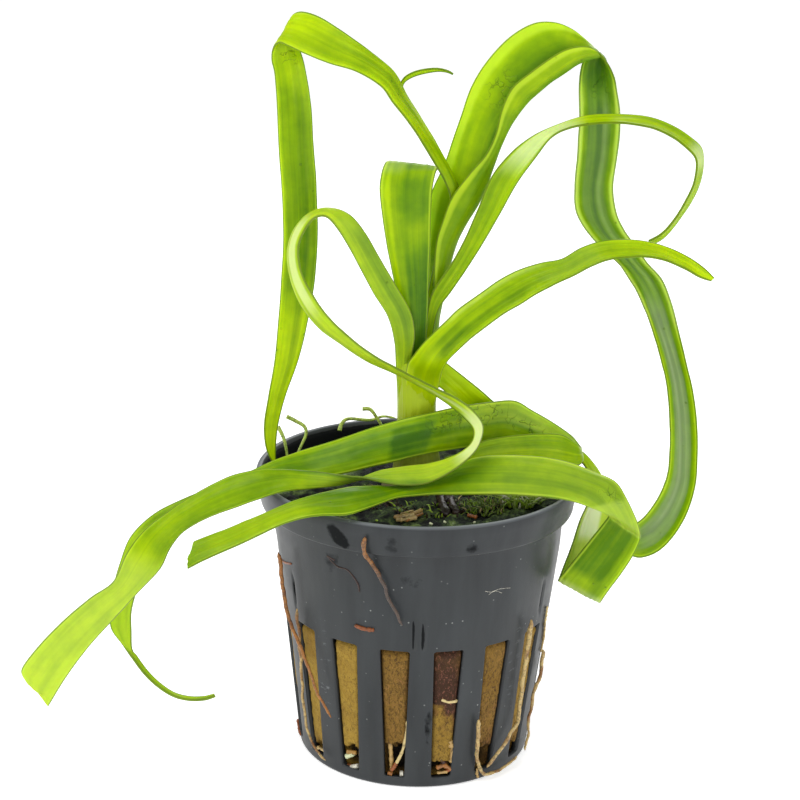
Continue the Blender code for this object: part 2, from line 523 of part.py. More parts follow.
def turned(name, profile, sides, group, finish):
    """A profile of radius and height pairs turned about the upright axis."""
    outline = bmesh.new()
    verts = [outline.verts.new((r * MM, 0.0, z * MM)) for r, z in profile]
    for one, other in zip(verts, verts[1:]):
        outline.edges.new((one, other))
    data = bpy.data.meshes.new(name)
    outline.to_mesh(data)
    outline.free()
    made = add_object(name, data, group, finish)
    spin = made.modifiers.new("Turned", "SCREW")
    spin.steps = sides
    spin.render_steps = sides
    spin.use_merge_vertices = True
    spin.merge_threshold = 0.00001
    return made


def slot_cutter(turn, group):
    """A tapered block that cuts one slot of the wall."""
    shape = bmesh.new()
    bmesh.ops.create_cube(shape, size=1.0)
    height = SLOT_HIGH - SLOT_LOW
    for vert in shape.verts:
        wide = SLOT_WIDTH_HIGH if vert.co.z > 0 else SLOT_WIDTH_LOW
        vert.co = Vector((
            (BASE_RADIUS + 2.0 + vert.co.x * 14.0) * MM,
            vert.co.y * wide * MM,
            (SLOT_LOW + (vert.co.z + 0.5) * height) * MM))
    data = bpy.data.meshes.new("slot_cutter")
    shape.to_mesh(data)
    shape.free()
    made = add_object("slot_cutter", data, group)
    made.rotation_euler.z = turn
    made.hide_render = True
    made.display_type = "WIRE"
    return made


def net_pot(group, cutters, finish):
    """The pot: a tapered wall with a floor and a stacking lip, and a ring of
    slots through the lower half of the wall."""
    lip_low = POT_HEIGHT - LIP_HEIGHT
    profile = [
        (0.0, FLOOR), (BASE_RADIUS - WALL, FLOOR),
        (WALL_TOP_RADIUS - WALL, lip_low + 0.2),
        (LIP_LOWER_RADIUS - WALL, lip_low + 0.9),
        (RIM_RADIUS - WALL - 0.1, POT_HEIGHT - 0.3),
        (RIM_RADIUS - WALL + 0.3, POT_HEIGHT),
        (RIM_RADIUS - 0.3, POT_HEIGHT), (RIM_RADIUS, POT_HEIGHT - 0.4),
        (LIP_LOWER_RADIUS, lip_low), (WALL_TOP_RADIUS, lip_low - 0.4),
        (BASE_RADIUS + 0.1, 1.0), (BASE_RADIUS - 0.7, 0.0), (0.0, 0.0)]
    made = turned("net_pot", profile, RIM_SIDES, group, finish)
    for number in range(SLOTS):
        turn = math.radians(SLOT_TURN + number * 360.0 / SLOTS)
        cut = made.modifiers.new(f"Slot {number + 1}", "BOOLEAN")
        cut.operation = "DIFFERENCE"
        cut.object = slot_cutter(turn, cutters)
    return made


def rock_wool(group, finish):
    """The plug of mineral wool, with a round hollow for the bulb."""
    low = BASE_RADIUS - WALL - WOOL_GAP
    high = WALL_TOP_RADIUS - WALL - WOOL_GAP
    lip_low = POT_HEIGHT - LIP_HEIGHT
    profile = [(0.0, BULB_HEIGHT - BULB_HOLLOW)]
    for step in range(1, 5):
        turn = math.radians(step * 28.0)
        profile.append((BULB_HOLLOW * math.sin(turn),
                        BULB_HEIGHT - BULB_HOLLOW * math.cos(turn)))
    profile += [(BULB_HOLLOW + 0.6, WOOL_TOP), (high + 0.4, WOOL_TOP),
                (high + 0.6, WOOL_TOP - 0.3), (high, lip_low + 0.4),
                (low, FLOOR + WOOL_GAP), (0.0, FLOOR + WOOL_GAP)]
    return turned("rock_wool", profile, 40, group, finish)


def bulb(group, finish):
    """The bulb and its neck, one turned body: a ball that draws in to the
    straight stalk of leaf sheaths."""
    shoulder = math.asin(NECK_RADIUS / BULB_RADIUS)
    profile = [(0.0, NECK_TOP), (NECK_RADIUS - 0.5, NECK_TOP),
               (NECK_RADIUS, NECK_TOP - 0.8)]
    low = BULB_HEIGHT + BULB_RADIUS * math.cos(shoulder)
    profile.append((NECK_RADIUS, low + 2.0))
    for step in range(7):
        turn = shoulder + (math.pi - shoulder) * step / 7
        profile.append((BULB_RADIUS * math.sin(turn),
                        BULB_HEIGHT + BULB_RADIUS * math.cos(turn)))
    profile.append((0.0, BULB_HEIGHT - BULB_RADIUS))
    made = turned("bulb", profile, 20, group, finish)
    made.location.x = NECK_OFFSET * MM
    return made


def strand(name, points, radius, group, finish):
    """A root or shoot: a round tube along a smooth line of points."""
    line = smooth_points(points, 2)
    data = bpy.data.curves.new(name, "CURVE")
    data.dimensions = "3D"
    spline = data.splines.new("POLY")
    spline.points.add(len(line) - 1)
    for index, point in enumerate(line):
        spline.points[index].co = (*(point * MM), 1.0)
    data.bevel_depth = radius * MM
    data.bevel_resolution = 2
    data.use_fill_caps = True
    return add_object(name, data, group, finish)


def main():
    for old in list(bpy.data.objects):
        bpy.data.objects.remove(old, do_unlink=True)
    plant = collection("potted_water_onion")
    cutters = collection("cutters")

    plastic = material("Pot plastic", (0.055, 0.060, 0.062), 0.45)
    wool = material("Rock wool", (0.30, 0.22, 0.06), 0.95)
    skin = material("Bulb skin", (0.42, 0.52, 0.12), 0.5)
    light = material("Leaf", LEAF_GREEN, 0.35)
    dark = material("Leaf shaded", LEAF_DARK, 0.35)
    brown = material("Root", (0.45, 0.28, 0.10), 0.7)
    pale = material("Rootlet", (0.45, 0.55, 0.12), 0.5)

    net_pot(plant, cutters, plastic)
    rock_wool(plant, wool)
    bulb(plant, skin)
    leaf("leaf_left_arch", LEFT_ARCH, plant, light)
    leaf("leaf_tall", TALL, plant, dark)
    leaf("leaf_ring", RING, plant, light)
    leaf("leaf_right", RIGHT_LEAF, plant, light)
    leaf("leaf_folded", FOLDED, plant, dark)
    leaf("leaf_left_loop", LEFT_LOOP, plant, light)
    leaf("leaf_thin", THIN, plant, light)
    leaf("leaf_across_back", ACROSS_BACK, plant, dark)
    leaf("leaf_across_front", ACROSS_FRONT, plant, light)
    for name, (radius, further, route) in ROOTS.items():
        lift = radius + ROOT_GAP + further
        points = [on_wall(right, up, lift) for right, up in route]
        strand(name, points, radius, plant, brown)
    for name, route in ROOTLETS.items():
        points = [sighted(*place) for place in route]
        strand(name, points, ROOTLET_RADIUS, plant, pale)


main()
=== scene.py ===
"""The looks of a potted water onion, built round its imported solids.

Lengths in the tables are millimetres. The plant's leaves are set out as the
eye sees them, on an upright plane through the middle of the pot's rim, and
near says how far each point stands in front of the pot's middle.
"""
import math

import bmesh
import bpy
import numpy as np
from mathutils import Matrix


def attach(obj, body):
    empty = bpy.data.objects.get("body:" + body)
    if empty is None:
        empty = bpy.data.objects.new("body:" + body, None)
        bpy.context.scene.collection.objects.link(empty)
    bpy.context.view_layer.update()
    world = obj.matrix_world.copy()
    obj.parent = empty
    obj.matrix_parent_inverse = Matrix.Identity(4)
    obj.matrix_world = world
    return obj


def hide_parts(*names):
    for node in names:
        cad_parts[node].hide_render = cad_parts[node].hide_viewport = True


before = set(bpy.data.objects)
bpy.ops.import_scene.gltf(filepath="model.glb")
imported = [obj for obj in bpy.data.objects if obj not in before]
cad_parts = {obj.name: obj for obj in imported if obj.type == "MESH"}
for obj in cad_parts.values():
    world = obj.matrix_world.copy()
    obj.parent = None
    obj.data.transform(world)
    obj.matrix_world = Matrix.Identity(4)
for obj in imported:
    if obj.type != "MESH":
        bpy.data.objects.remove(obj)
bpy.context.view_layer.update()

bl_info = {
    "name": "Potted water onion",
    "version": (1, 0, 0),
    "blender": (4, 5, 0),
    "location": "3D View > Sidebar > Water onion",
    "description": "Builds a water onion in its slotted net pot, with its stage",
    "category": "Object",
}

MM = 0.001
BODY = "root"

# The net pot in millimetres, as in the solids.
POT_HEIGHT = 50.0
BASE_RADIUS = 20.0
WALL_TOP_RADIUS = 25.1
LIP_HEIGHT = 5.5
LIP_LOW = POT_HEIGHT - LIP_HEIGHT
LIP_LOWER_RADIUS = 26.7
RIM_RADIUS = 27.5
WALL = 1.15
FLOOR = 1.3
SLOTS = 16
SECTOR = 2 * math.pi / SLOTS
SLOT_LOW = 1.9
SLOT_HIGH = 26.5
SLOT_WIDTH_LOW = 3.4
SLOT_WIDTH_HIGH = 5.1
SLOT_TURN = math.radians(13.4)
WOOL_TOP = 46.2
BULB_RADIUS = 6.4
BULB_HEIGHT = 42.5
NECK_RADIUS = 3.2
NECK_OFFSET = -0.8

# Heights at which a finish changes: the wool's moss begins and is full, and
# the bulb's brown skin ends and the neck is all green.
MOSS_FROM = 44.0
MOSS_FULL = 45.2
SKIN_TO = 47.0
GREEN_FROM = 68.0
MOSS_REACH = 24.4

# How many faces cross a slot and the pillar beside it.
POT_OPENING = 8
POT_PILLAR = 16

# The eye: 18 degrees above the horizon and rolled by 1.4 degrees. Its sensor
# is in millimetres, and its focus and picture in pixels.
VIEW_TILT = math.radians(18.0)
VIEW_ROLL = math.radians(1.4)
EYE_RIGHT = -3.5
EYE_UP = 11.7
EYE_BACK = 347.0
EYE_SENSOR = 36.0
EYE_FOCUS = 2037.0
PICTURE_WIDTH = 800.0
UPRIGHT_SCALE = 1.05
FLOOR_REACH = 3000.0
LIT_PLACE = np.array((0.0, 0.0, 60.0))

RIGHT0 = np.array((1.0, 0.0, 0.0))
AHEAD = np.array((0.0, math.cos(VIEW_TILT), -math.sin(VIEW_TILT)))
UP0 = np.array((0.0, math.sin(VIEW_TILT), math.cos(VIEW_TILT)))
RIGHT = RIGHT0 * math.cos(VIEW_ROLL) + UP0 * math.sin(VIEW_ROLL)
UP = UP0 * math.cos(VIEW_ROLL) - RIGHT0 * math.sin(VIEW_ROLL)
RIM_CENTRE = np.array((0.0, 0.0, POT_HEIGHT))
EYE = RIM_CENTRE + RIGHT * EYE_RIGHT + UP * EYE_UP - AHEAD * EYE_BACK

# Each leaf is a list of stations from its base to its tip. A station holds
# the two edges, each as right, up and near, and last how far the middle of
# the leaf stands off the straight line between them, which makes its channel.
LEFT_ARCH = [
    (-1.6, 18.9, -2.4, 1.0, 18.9, -2.6, -0.2),
    (0.6, 27.5, -2.6, 2.5, 26.9, -2.9, -0.2),
    (2.3, 35.0, -2.8, 3.7, 34.2, -3.1, -0.2),
    (3.5, 41.5, -2.9, 5.5, 41.0, -3.3, -0.2),
    (5.0, 45.4, -2.9, 7.0, 45.6, -3.5, -0.2),
    (4.2, 48.6, -2.6, 6.0, 49.2, -3.9, -0.2),
    (1.5, 53.3, -1.8, 3.2, 54.6, -4.4, -0.2),
    (-1.5, 58.2, -1.4, 0.1, 59.8, -5.0, -0.2),
    (-4.6, 62.1, -1.8, -2.3, 63.7, -5.4, -0.2),
    (-6.8, 65.1, -2.2, -4.5, 67.7, -5.2, -0.2),
    (-11.0, 67.6, -2.8, -8.6, 71.2, -4.8, -0.2),
    (-15.6, 69.0, -3.2, -13.2, 74.5, -4.2, -0.2),
    (-19.6, 70.6, -3.4, -17.2, 77.0, -3.8, -0.2),
    (-22.4, 71.9, -3.6, -20.2, 77.9, -3.8, -0.1),
    (-24.1, 72.5, -4.6, -21.7, 77.3, -4.8, 0.0),
    (-25.2, 71.4, -6.2, -21.5, 75.6, -6.8, 0.0),
    (-25.4, 69.6, -6.6, -20.6, 71.8, -7.4, 0.1),
    (-24.9, 67.2, -6.4, -19.7, 68.6, -7.2, 0.3),
    (-24.5, 62.0, -6.2, -18.7, 62.6, -6.8, 0.5),
    (-24.2, 55.0, -6.0, -18.2, 55.2, -6.2, 0.6),
    (-23.7, 48.0, -5.6, -17.7, 48.0, -5.8, 0.6),
    (-23.4, 40.0, -5.0, -17.5, 40.0, -5.2, 0.5),
    (-23.7, 33.0, -4.4, -17.9, 33.0, -4.6, 0.4),
    (-24.2, 26.0, -3.8, -19.0, 26.0, -4.2, 0.3),
    (-24.9, 18.5, -3.0, -20.8, 18.5, -3.8, 0.2),
    (-26.0, 12.2, -2.0, -23.0, 12.4, -3.0, 0.1),
    (-26.7, 7.4, -1.4, -24.2, 7.6, -2.2, 0.0),
    (-26.4, 3.6, -1.0, -24.6, 4.0, -1.4, 0.0),
    (-25.3, 1.0, -0.8, -24.6, 1.3, -1.0, 0.0),
]

# The tall leaf is folded along its keel, so its middle is given as well.
TALL = [
    (-0.9, 19.3, -4.4, 1.5, 18.8, -1.3, 2.2, 19.1, -3.0),
    (0.2, 27.0, -4.9, 2.0, 27.0, -1.2, 3.1, 26.6, -3.0),
    (0.8, 33.0, -5.4, 2.2, 32.8, -1.1, 4.4, 32.0, -3.0),
    (0.9, 38.5, -5.8, 2.6, 38.4, -1.2, 5.6, 37.4, -3.1),
    (1.3, 43.0, -6.2, 3.8, 42.4, -1.4, 7.6, 41.8, -3.3),
    (1.9, 47.2, -6.5, 5.4, 46.4, -1.8, 9.7, 45.2, -3.5),
    (4.0, 51.8, -6.7, 8.4, 50.4, -2.4, 11.2, 48.9, -3.8),
    (5.4, 55.9, -6.8, 11.0, 53.4, -2.8, 12.3, 53.2, -4.2),
    (6.9, 60.2, -6.8, 12.7, 57.0, -3.1, 13.7, 56.7, -4.4),
    (8.6, 65.0, -6.8, 13.8, 61.2, -3.2, 15.8, 60.1, -4.6),
    (11.2, 69.3, -6.8, 15.6, 64.9, -3.1, 18.2, 63.1, -4.6),
    (15.0, 73.4, -6.8, 18.5, 67.4, -3.0, 21.2, 65.8, -4.6),
    (19.0, 75.8, -6.8, 21.8, 69.8, -3.0, 24.2, 67.8, -4.6),
    (22.5, 76.1, -6.8, 24.6, 71.4, -3.1, 26.6, 69.3, -4.7),
    (25.5, 75.1, -7.0, 27.3, 72.0, -3.6, 28.4, 69.9, -5.2),
    (28.2, 73.1, -7.8, 29.4, 71.6, -4.6, 30.0, 70.2, -6.0),
    (29.0, 71.6, -8.8, 31.0, 70.0, -5.6, 30.8, 70.4, -7.6),
    (27.6, 69.4, -8.6, 32.6, 67.6, -6.2, 30.4, 68.6, -8.6),
    (27.0, 65.6, -7.4, 33.5, 64.8, -6.0, 30.3, 65.2, -8.2),
    (27.0, 60.0, -6.8, 34.0, 60.0, -6.0, 30.5, 60.0, -8.0),
    (26.7, 54.0, -6.6, 33.7, 54.0, -5.8, 30.2, 54.0, -7.8),
    (26.2, 48.0, -6.2, 32.8, 48.0, -5.4, 29.4, 48.0, -7.4),
    (26.4, 43.8, -5.6, 33.4, 43.8, -4.8, 29.8, 43.8, -6.8),
    (28.0, 40.8, -4.8, 34.8, 40.6, -4.0, 31.2, 40.6, -6.0),
    (30.8, 37.6, -3.8, 36.7, 38.0, -3.2, 33.6, 37.6, -5.0),
    (33.3, 35.2, -3.0, 38.6, 35.2, -2.4, 35.8, 35.0, -4.2),
    (35.2, 32.7, -2.4, 41.2, 32.2, -1.6, 38.0, 32.2, -3.6),
    (37.2, 29.5, -1.8, 42.9, 28.0, -1.0, 39.8, 28.6, -3.0),
    (38.9, 25.0, -1.2, 44.0, 23.4, -0.4, 41.3, 24.0, -2.4),
    (40.6, 19.8, -0.6, 45.1, 19.0, 0.2, 42.8, 19.2, -1.8),
    (41.9, 14.2, 0.0, 46.3, 13.8, 0.8, 44.0, 14.0, -1.2),
    (42.4, 8.0, 0.6, 47.1, 7.8, 1.4, 44.7, 8.0, -0.6),
    (42.4, 2.6, 1.2, 47.2, 1.4, 2.0, 44.8, 2.0, 0.0),
    (41.9, -1.2, 1.8, 46.5, -4.4, 2.6, 44.4, -2.8, 0.6),
    (40.6, -4.6, 2.4, 44.2, -10.0, 3.0, 42.6, -7.2, 1.2),
    (38.8, -7.3, 3.0, 40.9, -13.8, 3.4, 40.0, -10.6, 1.8),
    (36.8, -9.2, 3.6, 37.6, -15.2, 3.8, 37.3, -12.2, 2.4),
    (34.9, -10.4, 4.0, 35.2, -14.6, 4.1, 35.0, -12.5, 3.2),
]

RING = [
    (-0.9, 18.0, -0.2, 1.5, 18.0, -0.4, 0.2),
    (0.7, 24.8, 0.0, 2.4, 24.2, -0.3, 0.2),
    (1.5, 28.8, 0.2, 3.3, 27.4, -0.2, 0.2),
    (2.7, 31.3, 0.4, 5.3, 30.2, 0.0, 0.2),
    (5.2, 34.9, 0.4, 7.9, 34.0, 0.0, 0.2),
    (7.6, 39.4, 0.2, 10.7, 38.4, -0.2, 0.3),
    (9.8, 44.4, 0.0, 13.7, 43.6, -0.4, 0.4),
    (12.0, 49.6, -0.2, 16.5, 48.6, -0.6, 0.4),
    (15.4, 53.9, -0.6, 19.7, 53.0, -0.6, 0.4),
    (19.2, 56.8, -1.4, 22.3, 56.3, -0.4, 0.3),
    (23.7, 58.8, -2.4, 25.2, 57.9, -0.2, 0.2),
    (28.5, 60.2, -2.8, 29.0, 58.6, -0.2, 0.2),
    (34.2, 60.4, -2.8, 34.2, 58.8, -0.2, 0.2),
    (39.2, 59.9, -2.6, 38.8, 58.1, 0.0, 0.2),
    (43.3, 58.3, -2.4, 42.5, 56.6, 0.2, 0.2),
    (46.4, 56.2, -2.2, 45.1, 54.8, 0.4, 0.2),
    (48.0, 54.4, -2.0, 46.7, 53.0, 0.6, 0.1),
    (48.2, 51.6, -1.8, 46.9, 51.0, 0.8, 0.1),
    (47.5, 48.2, -1.4, 46.3, 48.2, 1.0, 0.1),
    (45.9, 45.0, -1.0, 44.9, 45.2, 1.2, 0.1),
    (43.6, 41.7, -0.4, 43.0, 42.2, 1.2, 0.1),
    (41.4, 39.2, 0.2, 41.0, 40.1, 1.2, 0.1),
    (39.2, 38.0, 0.6, 38.8, 38.9, 1.2, 0.0),
]

RIGHT_LEAF = [
    (-2.2, 17.9, 3.1, 3.3, 15.4, 2.2, -1.0),
    (-1.2, 19.4, 3.4, 3.7, 16.7, 2.9, -0.9),
    (0.2, 21.2, 3.7, 4.6, 18.2, 3.8, -0.6),
    (2.1, 23.1, 3.7, 6.0, 19.7, 4.4, -0.3),
    (4.4, 25.3, 3.8, 7.8, 21.4, 4.9, 0.0),
    (6.5, 27.3, 3.9, 9.6, 22.9, 5.3, 0.2),
    (10.4, 30.1, 4.2, 13.9, 26.1, 5.8, 0.2),
    (13.4, 32.2, 4.4, 17.0, 27.9, 6.2, 0.2),
    (16.7, 33.9, 4.6, 19.6, 29.6, 6.6, 0.2),
    (20.5, 35.1, 4.6, 22.7, 31.2, 7.0, 0.2),
    (24.0, 35.8, 4.6, 25.7, 32.6, 7.2, 0.2),
    (27.2, 37.6, 4.6, 28.9, 34.3, 7.4, 0.2),
    (30.8, 38.8, 4.6, 31.8, 35.4, 7.6, 0.2),
    (34.8, 39.1, 4.7, 35.2, 35.9, 7.7, 0.2),
    (38.8, 38.7, 4.8, 38.4, 36.0, 7.7, 0.3),
    (42.6, 37.6, 5.0, 41.6, 35.4, 7.5, 0.3),
    (46.0, 35.9, 5.4, 44.8, 34.1, 7.2, 0.3),
    (48.5, 34.1, 5.8, 47.4, 32.6, 6.8, 0.2),
    (50.1, 32.5, 6.2, 49.4, 31.9, 6.5, 0.0),
]

FOLDED = [
    (-2.7, 17.8, 0.6, 0.8, 17.8, 0.3, -0.2),
    (-3.4, 24.5, 1.3, 1.1, 24.2, 0.8, -0.4),
    (-4.4, 31.0, 1.4, 1.4, 30.6, 1.0, -0.6),
    (-5.7, 37.5, 1.6, 1.6, 37.0, 1.2, -0.8),
    (-6.6, 43.5, 1.8, 1.8, 43.2, 1.4, -0.9),
    (-7.0, 47.5, 2.0, 2.0, 47.4, 1.6, -0.7),
    (-6.7, 50.2, 2.0, 2.5, 50.1, 1.6, -0.4),
    (-6.2, 51.8, 1.2, 2.9, 51.0, 0.8, -0.1),
    (-5.7, 52.3, -0.4, 2.7, 51.4, -0.4, 0.0),
    (-5.4, 51.6, -1.6, 1.9, 51.0, -1.2, 0.0),
    (-5.0, 49.4, -2.2, 1.0, 49.0, -1.8, 0.1),
    (-4.6, 45.0, -2.4, 0.4, 44.8, -2.0, 0.2),
    (-3.6, 40.0, -2.4, -0.2, 40.0, -2.2, 0.2),
    (-2.6, 36.0, -2.3, -1.4, 36.0, -2.3, 0.0),
]

LEFT_LOOP = [
    (-1.8, 17.2, 1.7, -4.2, 17.4, 1.5, 0.3),
    (-1.0, 22.4, 2.5, -4.5, 21.6, 2.1, 0.4),
    (-1.6, 26.6, 2.9, -5.6, 25.8, 2.7, 0.5),
    (-4.2, 31.3, 3.2, -8.0, 29.8, 3.1, 0.4),
    (-6.9, 35.9, 3.4, -10.1, 33.7, 3.6, 0.3),
    (-9.2, 39.9, 3.4, -12.2, 37.6, 4.2, 0.2),
    (-11.9, 43.2, 3.2, -14.2, 40.8, 4.8, 0.2),
    (-15.2, 44.4, 3.0, -16.1, 42.8, 5.2, 0.2),
    (-18.6, 43.7, 2.8, -18.1, 42.5, 5.4, 0.2),
    (-21.2, 41.3, 2.8, -19.7, 40.5, 5.4, 0.2),
    (-22.6, 37.7, 3.0, -20.7, 37.7, 5.4, 0.2),
    (-22.4, 33.4, 3.2, -20.3, 33.8, 5.4, 0.2),
    (-20.8, 28.6, 3.6, -18.6, 30.2, 5.4, 0.2),
    (-17.6, 24.2, 4.0, -15.9, 26.2, 5.6, 0.2),
    (-13.6, 21.2, 4.4, -12.3, 22.7, 6.2, 0.2),
    (-9.2, 18.4, 5.0, -8.5, 19.7, 7.4, 0.2),
    (-4.2, 16.2, 5.4, -3.9, 17.0, 8.6, 0.1),
    (0.3, 13.9, 5.6, 0.7, 14.7, 9.0, 0.1),
    (2.9, 12.2, 6.2, 3.6, 13.3, 9.2, 0.1),
    (5.1, 10.6, 7.4, 6.1, 12.1, 9.4, 0.1),
    (7.3, 8.7, 8.6, 8.9, 10.1, 9.6, 0.1),
    (8.9, 6.7, 9.8, 10.7, 7.5, 10.0, 0.1),
    (8.8, 4.8, 11.0, 10.3, 4.6, 11.4, 0.1),
    (7.3, 3.2, 12.2, 8.8, 2.2, 13.2, 0.1),
    (4.6, 1.8, 13.2, 5.6, -0.4, 15.2, 0.2),
    (0.8, 0.8, 13.8, 1.4, -2.5, 16.6, 0.4),
    (-3.2, 0.3, 14.0, -2.6, -2.9, 17.2, 0.4),
    (-7.2, -0.4, 13.8, -6.0, -2.5, 17.2, 0.2),
    (-10.6, -1.8, 13.4, -9.4, -1.6, 16.6, 0.0),
    (-14.2, -2.9, 14.4, -13.4, -1.0, 15.2, -0.1),
    (-18.6, -3.5, 15.4, -17.6, -0.5, 13.8, -0.2),
    (-23.4, -4.0, 16.4, -22.6, -0.1, 13.2, -0.4),
    (-28.0, -5.4, 16.6, -27.2, -0.1, 14.0, -0.6),
    (-31.6, -6.7, 16.6, -32.2, -1.2, 14.6, -0.6),
    (-36.4, -8.5, 16.6, -37.6, -3.8, 15.2, -0.6),
    (-40.4, -10.8, 16.8, -43.2, -7.4, 15.8, -0.5),
    (-42.6, -13.6, 17.2, -47.4, -10.8, 16.6, -0.4),
    (-44.4, -17.2, 17.6, -50.2, -14.6, 17.4, -0.3),
    (-48.0, -21.0, 18.0, -52.4, -19.2, 18.2, -0.2),
    (-51.8, -25.2, 18.4, -56.2, -21.9, 18.8, -0.2),
    (-56.2, -30.0, 18.8, -60.6, -25.6, 19.2, -0.2),
    (-60.0, -35.0, 19.2, -65.0, -30.1, 19.6, -0.2),
    (-62.5, -39.0, 19.4, -68.0, -34.2, 19.8, -0.1),
    (-63.4, -40.5, 19.5, -67.0, -36.2, 19.7, -0.1),
]

THIN = [
    (-2.9, 19.2, -4.4, -2.0, 19.2, -4.4, 0.0),
    (-1.3, 28.0, -5.6, -0.4, 28.0, -5.8, 0.0),
    (1.6, 36.0, -6.6, 2.5, 35.8, -6.8, 0.0),
    (4.4, 43.0, -8.0, 5.3, 42.8, -8.2, 0.0),
    (4.4, 48.8, -8.4, 5.2, 49.0, -8.6, 0.0),
    (2.0, 53.6, -8.4, 2.8, 54.2, -8.6, 0.0),
    (-1.1, 58.6, -8.4, -0.3, 59.2, -8.6, 0.0),
    (-3.2, 62.6, -8.2, -2.5, 62.7, -8.4, 0.0),
    (-3.7, 64.8, -8.0, -3.0, 64.4, -8.2, 0.0),
    (-3.0, 66.5, -7.8, -2.7, 65.7, -8.0, 0.0),
    (-1.6, 67.5, -7.6, -1.4, 66.6, -7.8, 0.0),
    (0.4, 68.1, -7.4, 0.5, 67.2, -7.6, 0.0),
    (2.8, 68.3, -7.2, 2.8, 67.6, -7.4, 0.0),
    (4.6, 67.9, -7.0, 4.4, 67.5, -7.2, 0.0),
    (5.6, 67.3, -6.9, 5.5, 67.1, -7.0, 0.0),
]

ACROSS_BACK = [
    (4.2, 1.9, 5.0, 4.0, -1.6, 5.6, 0.1),
    (7.4, 3.0, 4.0, 7.2, -0.6, 5.2, 0.1),
    (10.6, 4.7, 3.0, 10.6, 0.6, 4.6, 0.2),
    (15.0, 5.6, 1.8, 15.0, 0.9, 3.8, 0.2),
    (20.4, 6.0, 0.6, 20.2, 1.1, 3.0, 0.2),
    (24.0, 5.8, -0.2, 24.2, 0.5, 2.4, 0.1),
    (26.2, 4.5, 0.0, 26.8, 0.5, 2.4, 0.0),
    (27.0, 3.7, -0.8, 27.6, 1.2, 1.2, 0.0),
    (27.2, 3.8, -2.2, 27.4, 1.8, -0.4, 0.0),
    (26.7, 4.6, -3.4, 26.6, 2.2, -1.8, 0.0),
    (25.6, 5.8, -4.4, 24.8, 2.5, -3.0, 0.0),
    (22.6, 7.9, -5.8, 21.0, 2.8, -4.2, 0.1),
    (19.0, 10.0, -5.9, 17.2, 3.6, -4.0, 0.2),
    (16.0, 11.6, -5.7, 13.4, 4.2, -3.2, 0.2),
    (12.0, 11.4, -3.4, 9.8, 3.8, -0.6, 0.3),
    (7.4, 10.8, 0.6, 5.4, 3.2, 3.2, 0.4),
    (2.6, 9.8, 4.5, 0.6, 2.4, 6.6, 0.4),
    (-3.0, 8.5, 5.0, -4.2, 1.2, 7.4, 0.4),
    (-8.6, 6.9, 4.4, -8.6, 0.2, 7.4, 0.4),
    (-14.5, 4.9, 4.0, -13.2, -0.9, 7.6, 0.4),
    (-20.3, 3.1, 4.2, -18.5, -1.8, 8.4, 0.3),
    (-25.5, 1.2, 6.0, -23.8, -1.6, 10.0, 0.2),
    (-29.6, -0.7, 8.0, -28.5, -3.2, 11.0, 0.1),
    (-34.6, -2.7, 9.0, -33.5, -5.8, 11.6, 0.1),
    (-40.2, -5.0, 9.8, -38.6, -8.6, 12.0, 0.1),
    (-45.5, -7.7, 10.4, -43.0, -11.4, 12.4, 0.1),
    (-49.3, -11.4, 11.0, -46.0, -14.6, 12.6, 0.1),
    (-51.2, -16.0, 11.6, -47.4, -17.8, 12.8, 0.1),
    (-52.4, -20.2, 12.2, -48.4, -21.0, 13.0, 0.1),
    (-53.0, -24.2, 12.8, -49.2, -24.4, 13.2, 0.0),
    (-52.7, -27.3, 13.4, -49.2, -27.9, 13.4, 0.0),
    (-50.9, -29.9, 13.8, -49.1, -30.6, 13.6, 0.0),
    (-49.2, -32.2, 14.2, -48.4, -31.8, 13.2, 0.0),
    (-47.2, -34.9, 14.8, -46.6, -34.3, 13.8, 0.0),
    (-44.9, -37.1, 15.4, -44.5, -36.4, 14.4, 0.0),
    (-42.2, -38.8, 16.0, -42.0, -38.1, 15.0, 0.0),
    (-39.4, -39.5, 16.6, -39.4, -38.8, 15.6, 0.0),
    (-36.8, -39.4, 17.2, -36.9, -38.8, 16.2, 0.0),
    (-35.0, -38.8, 17.6, -35.1, -38.4, 16.8, 0.0),
]

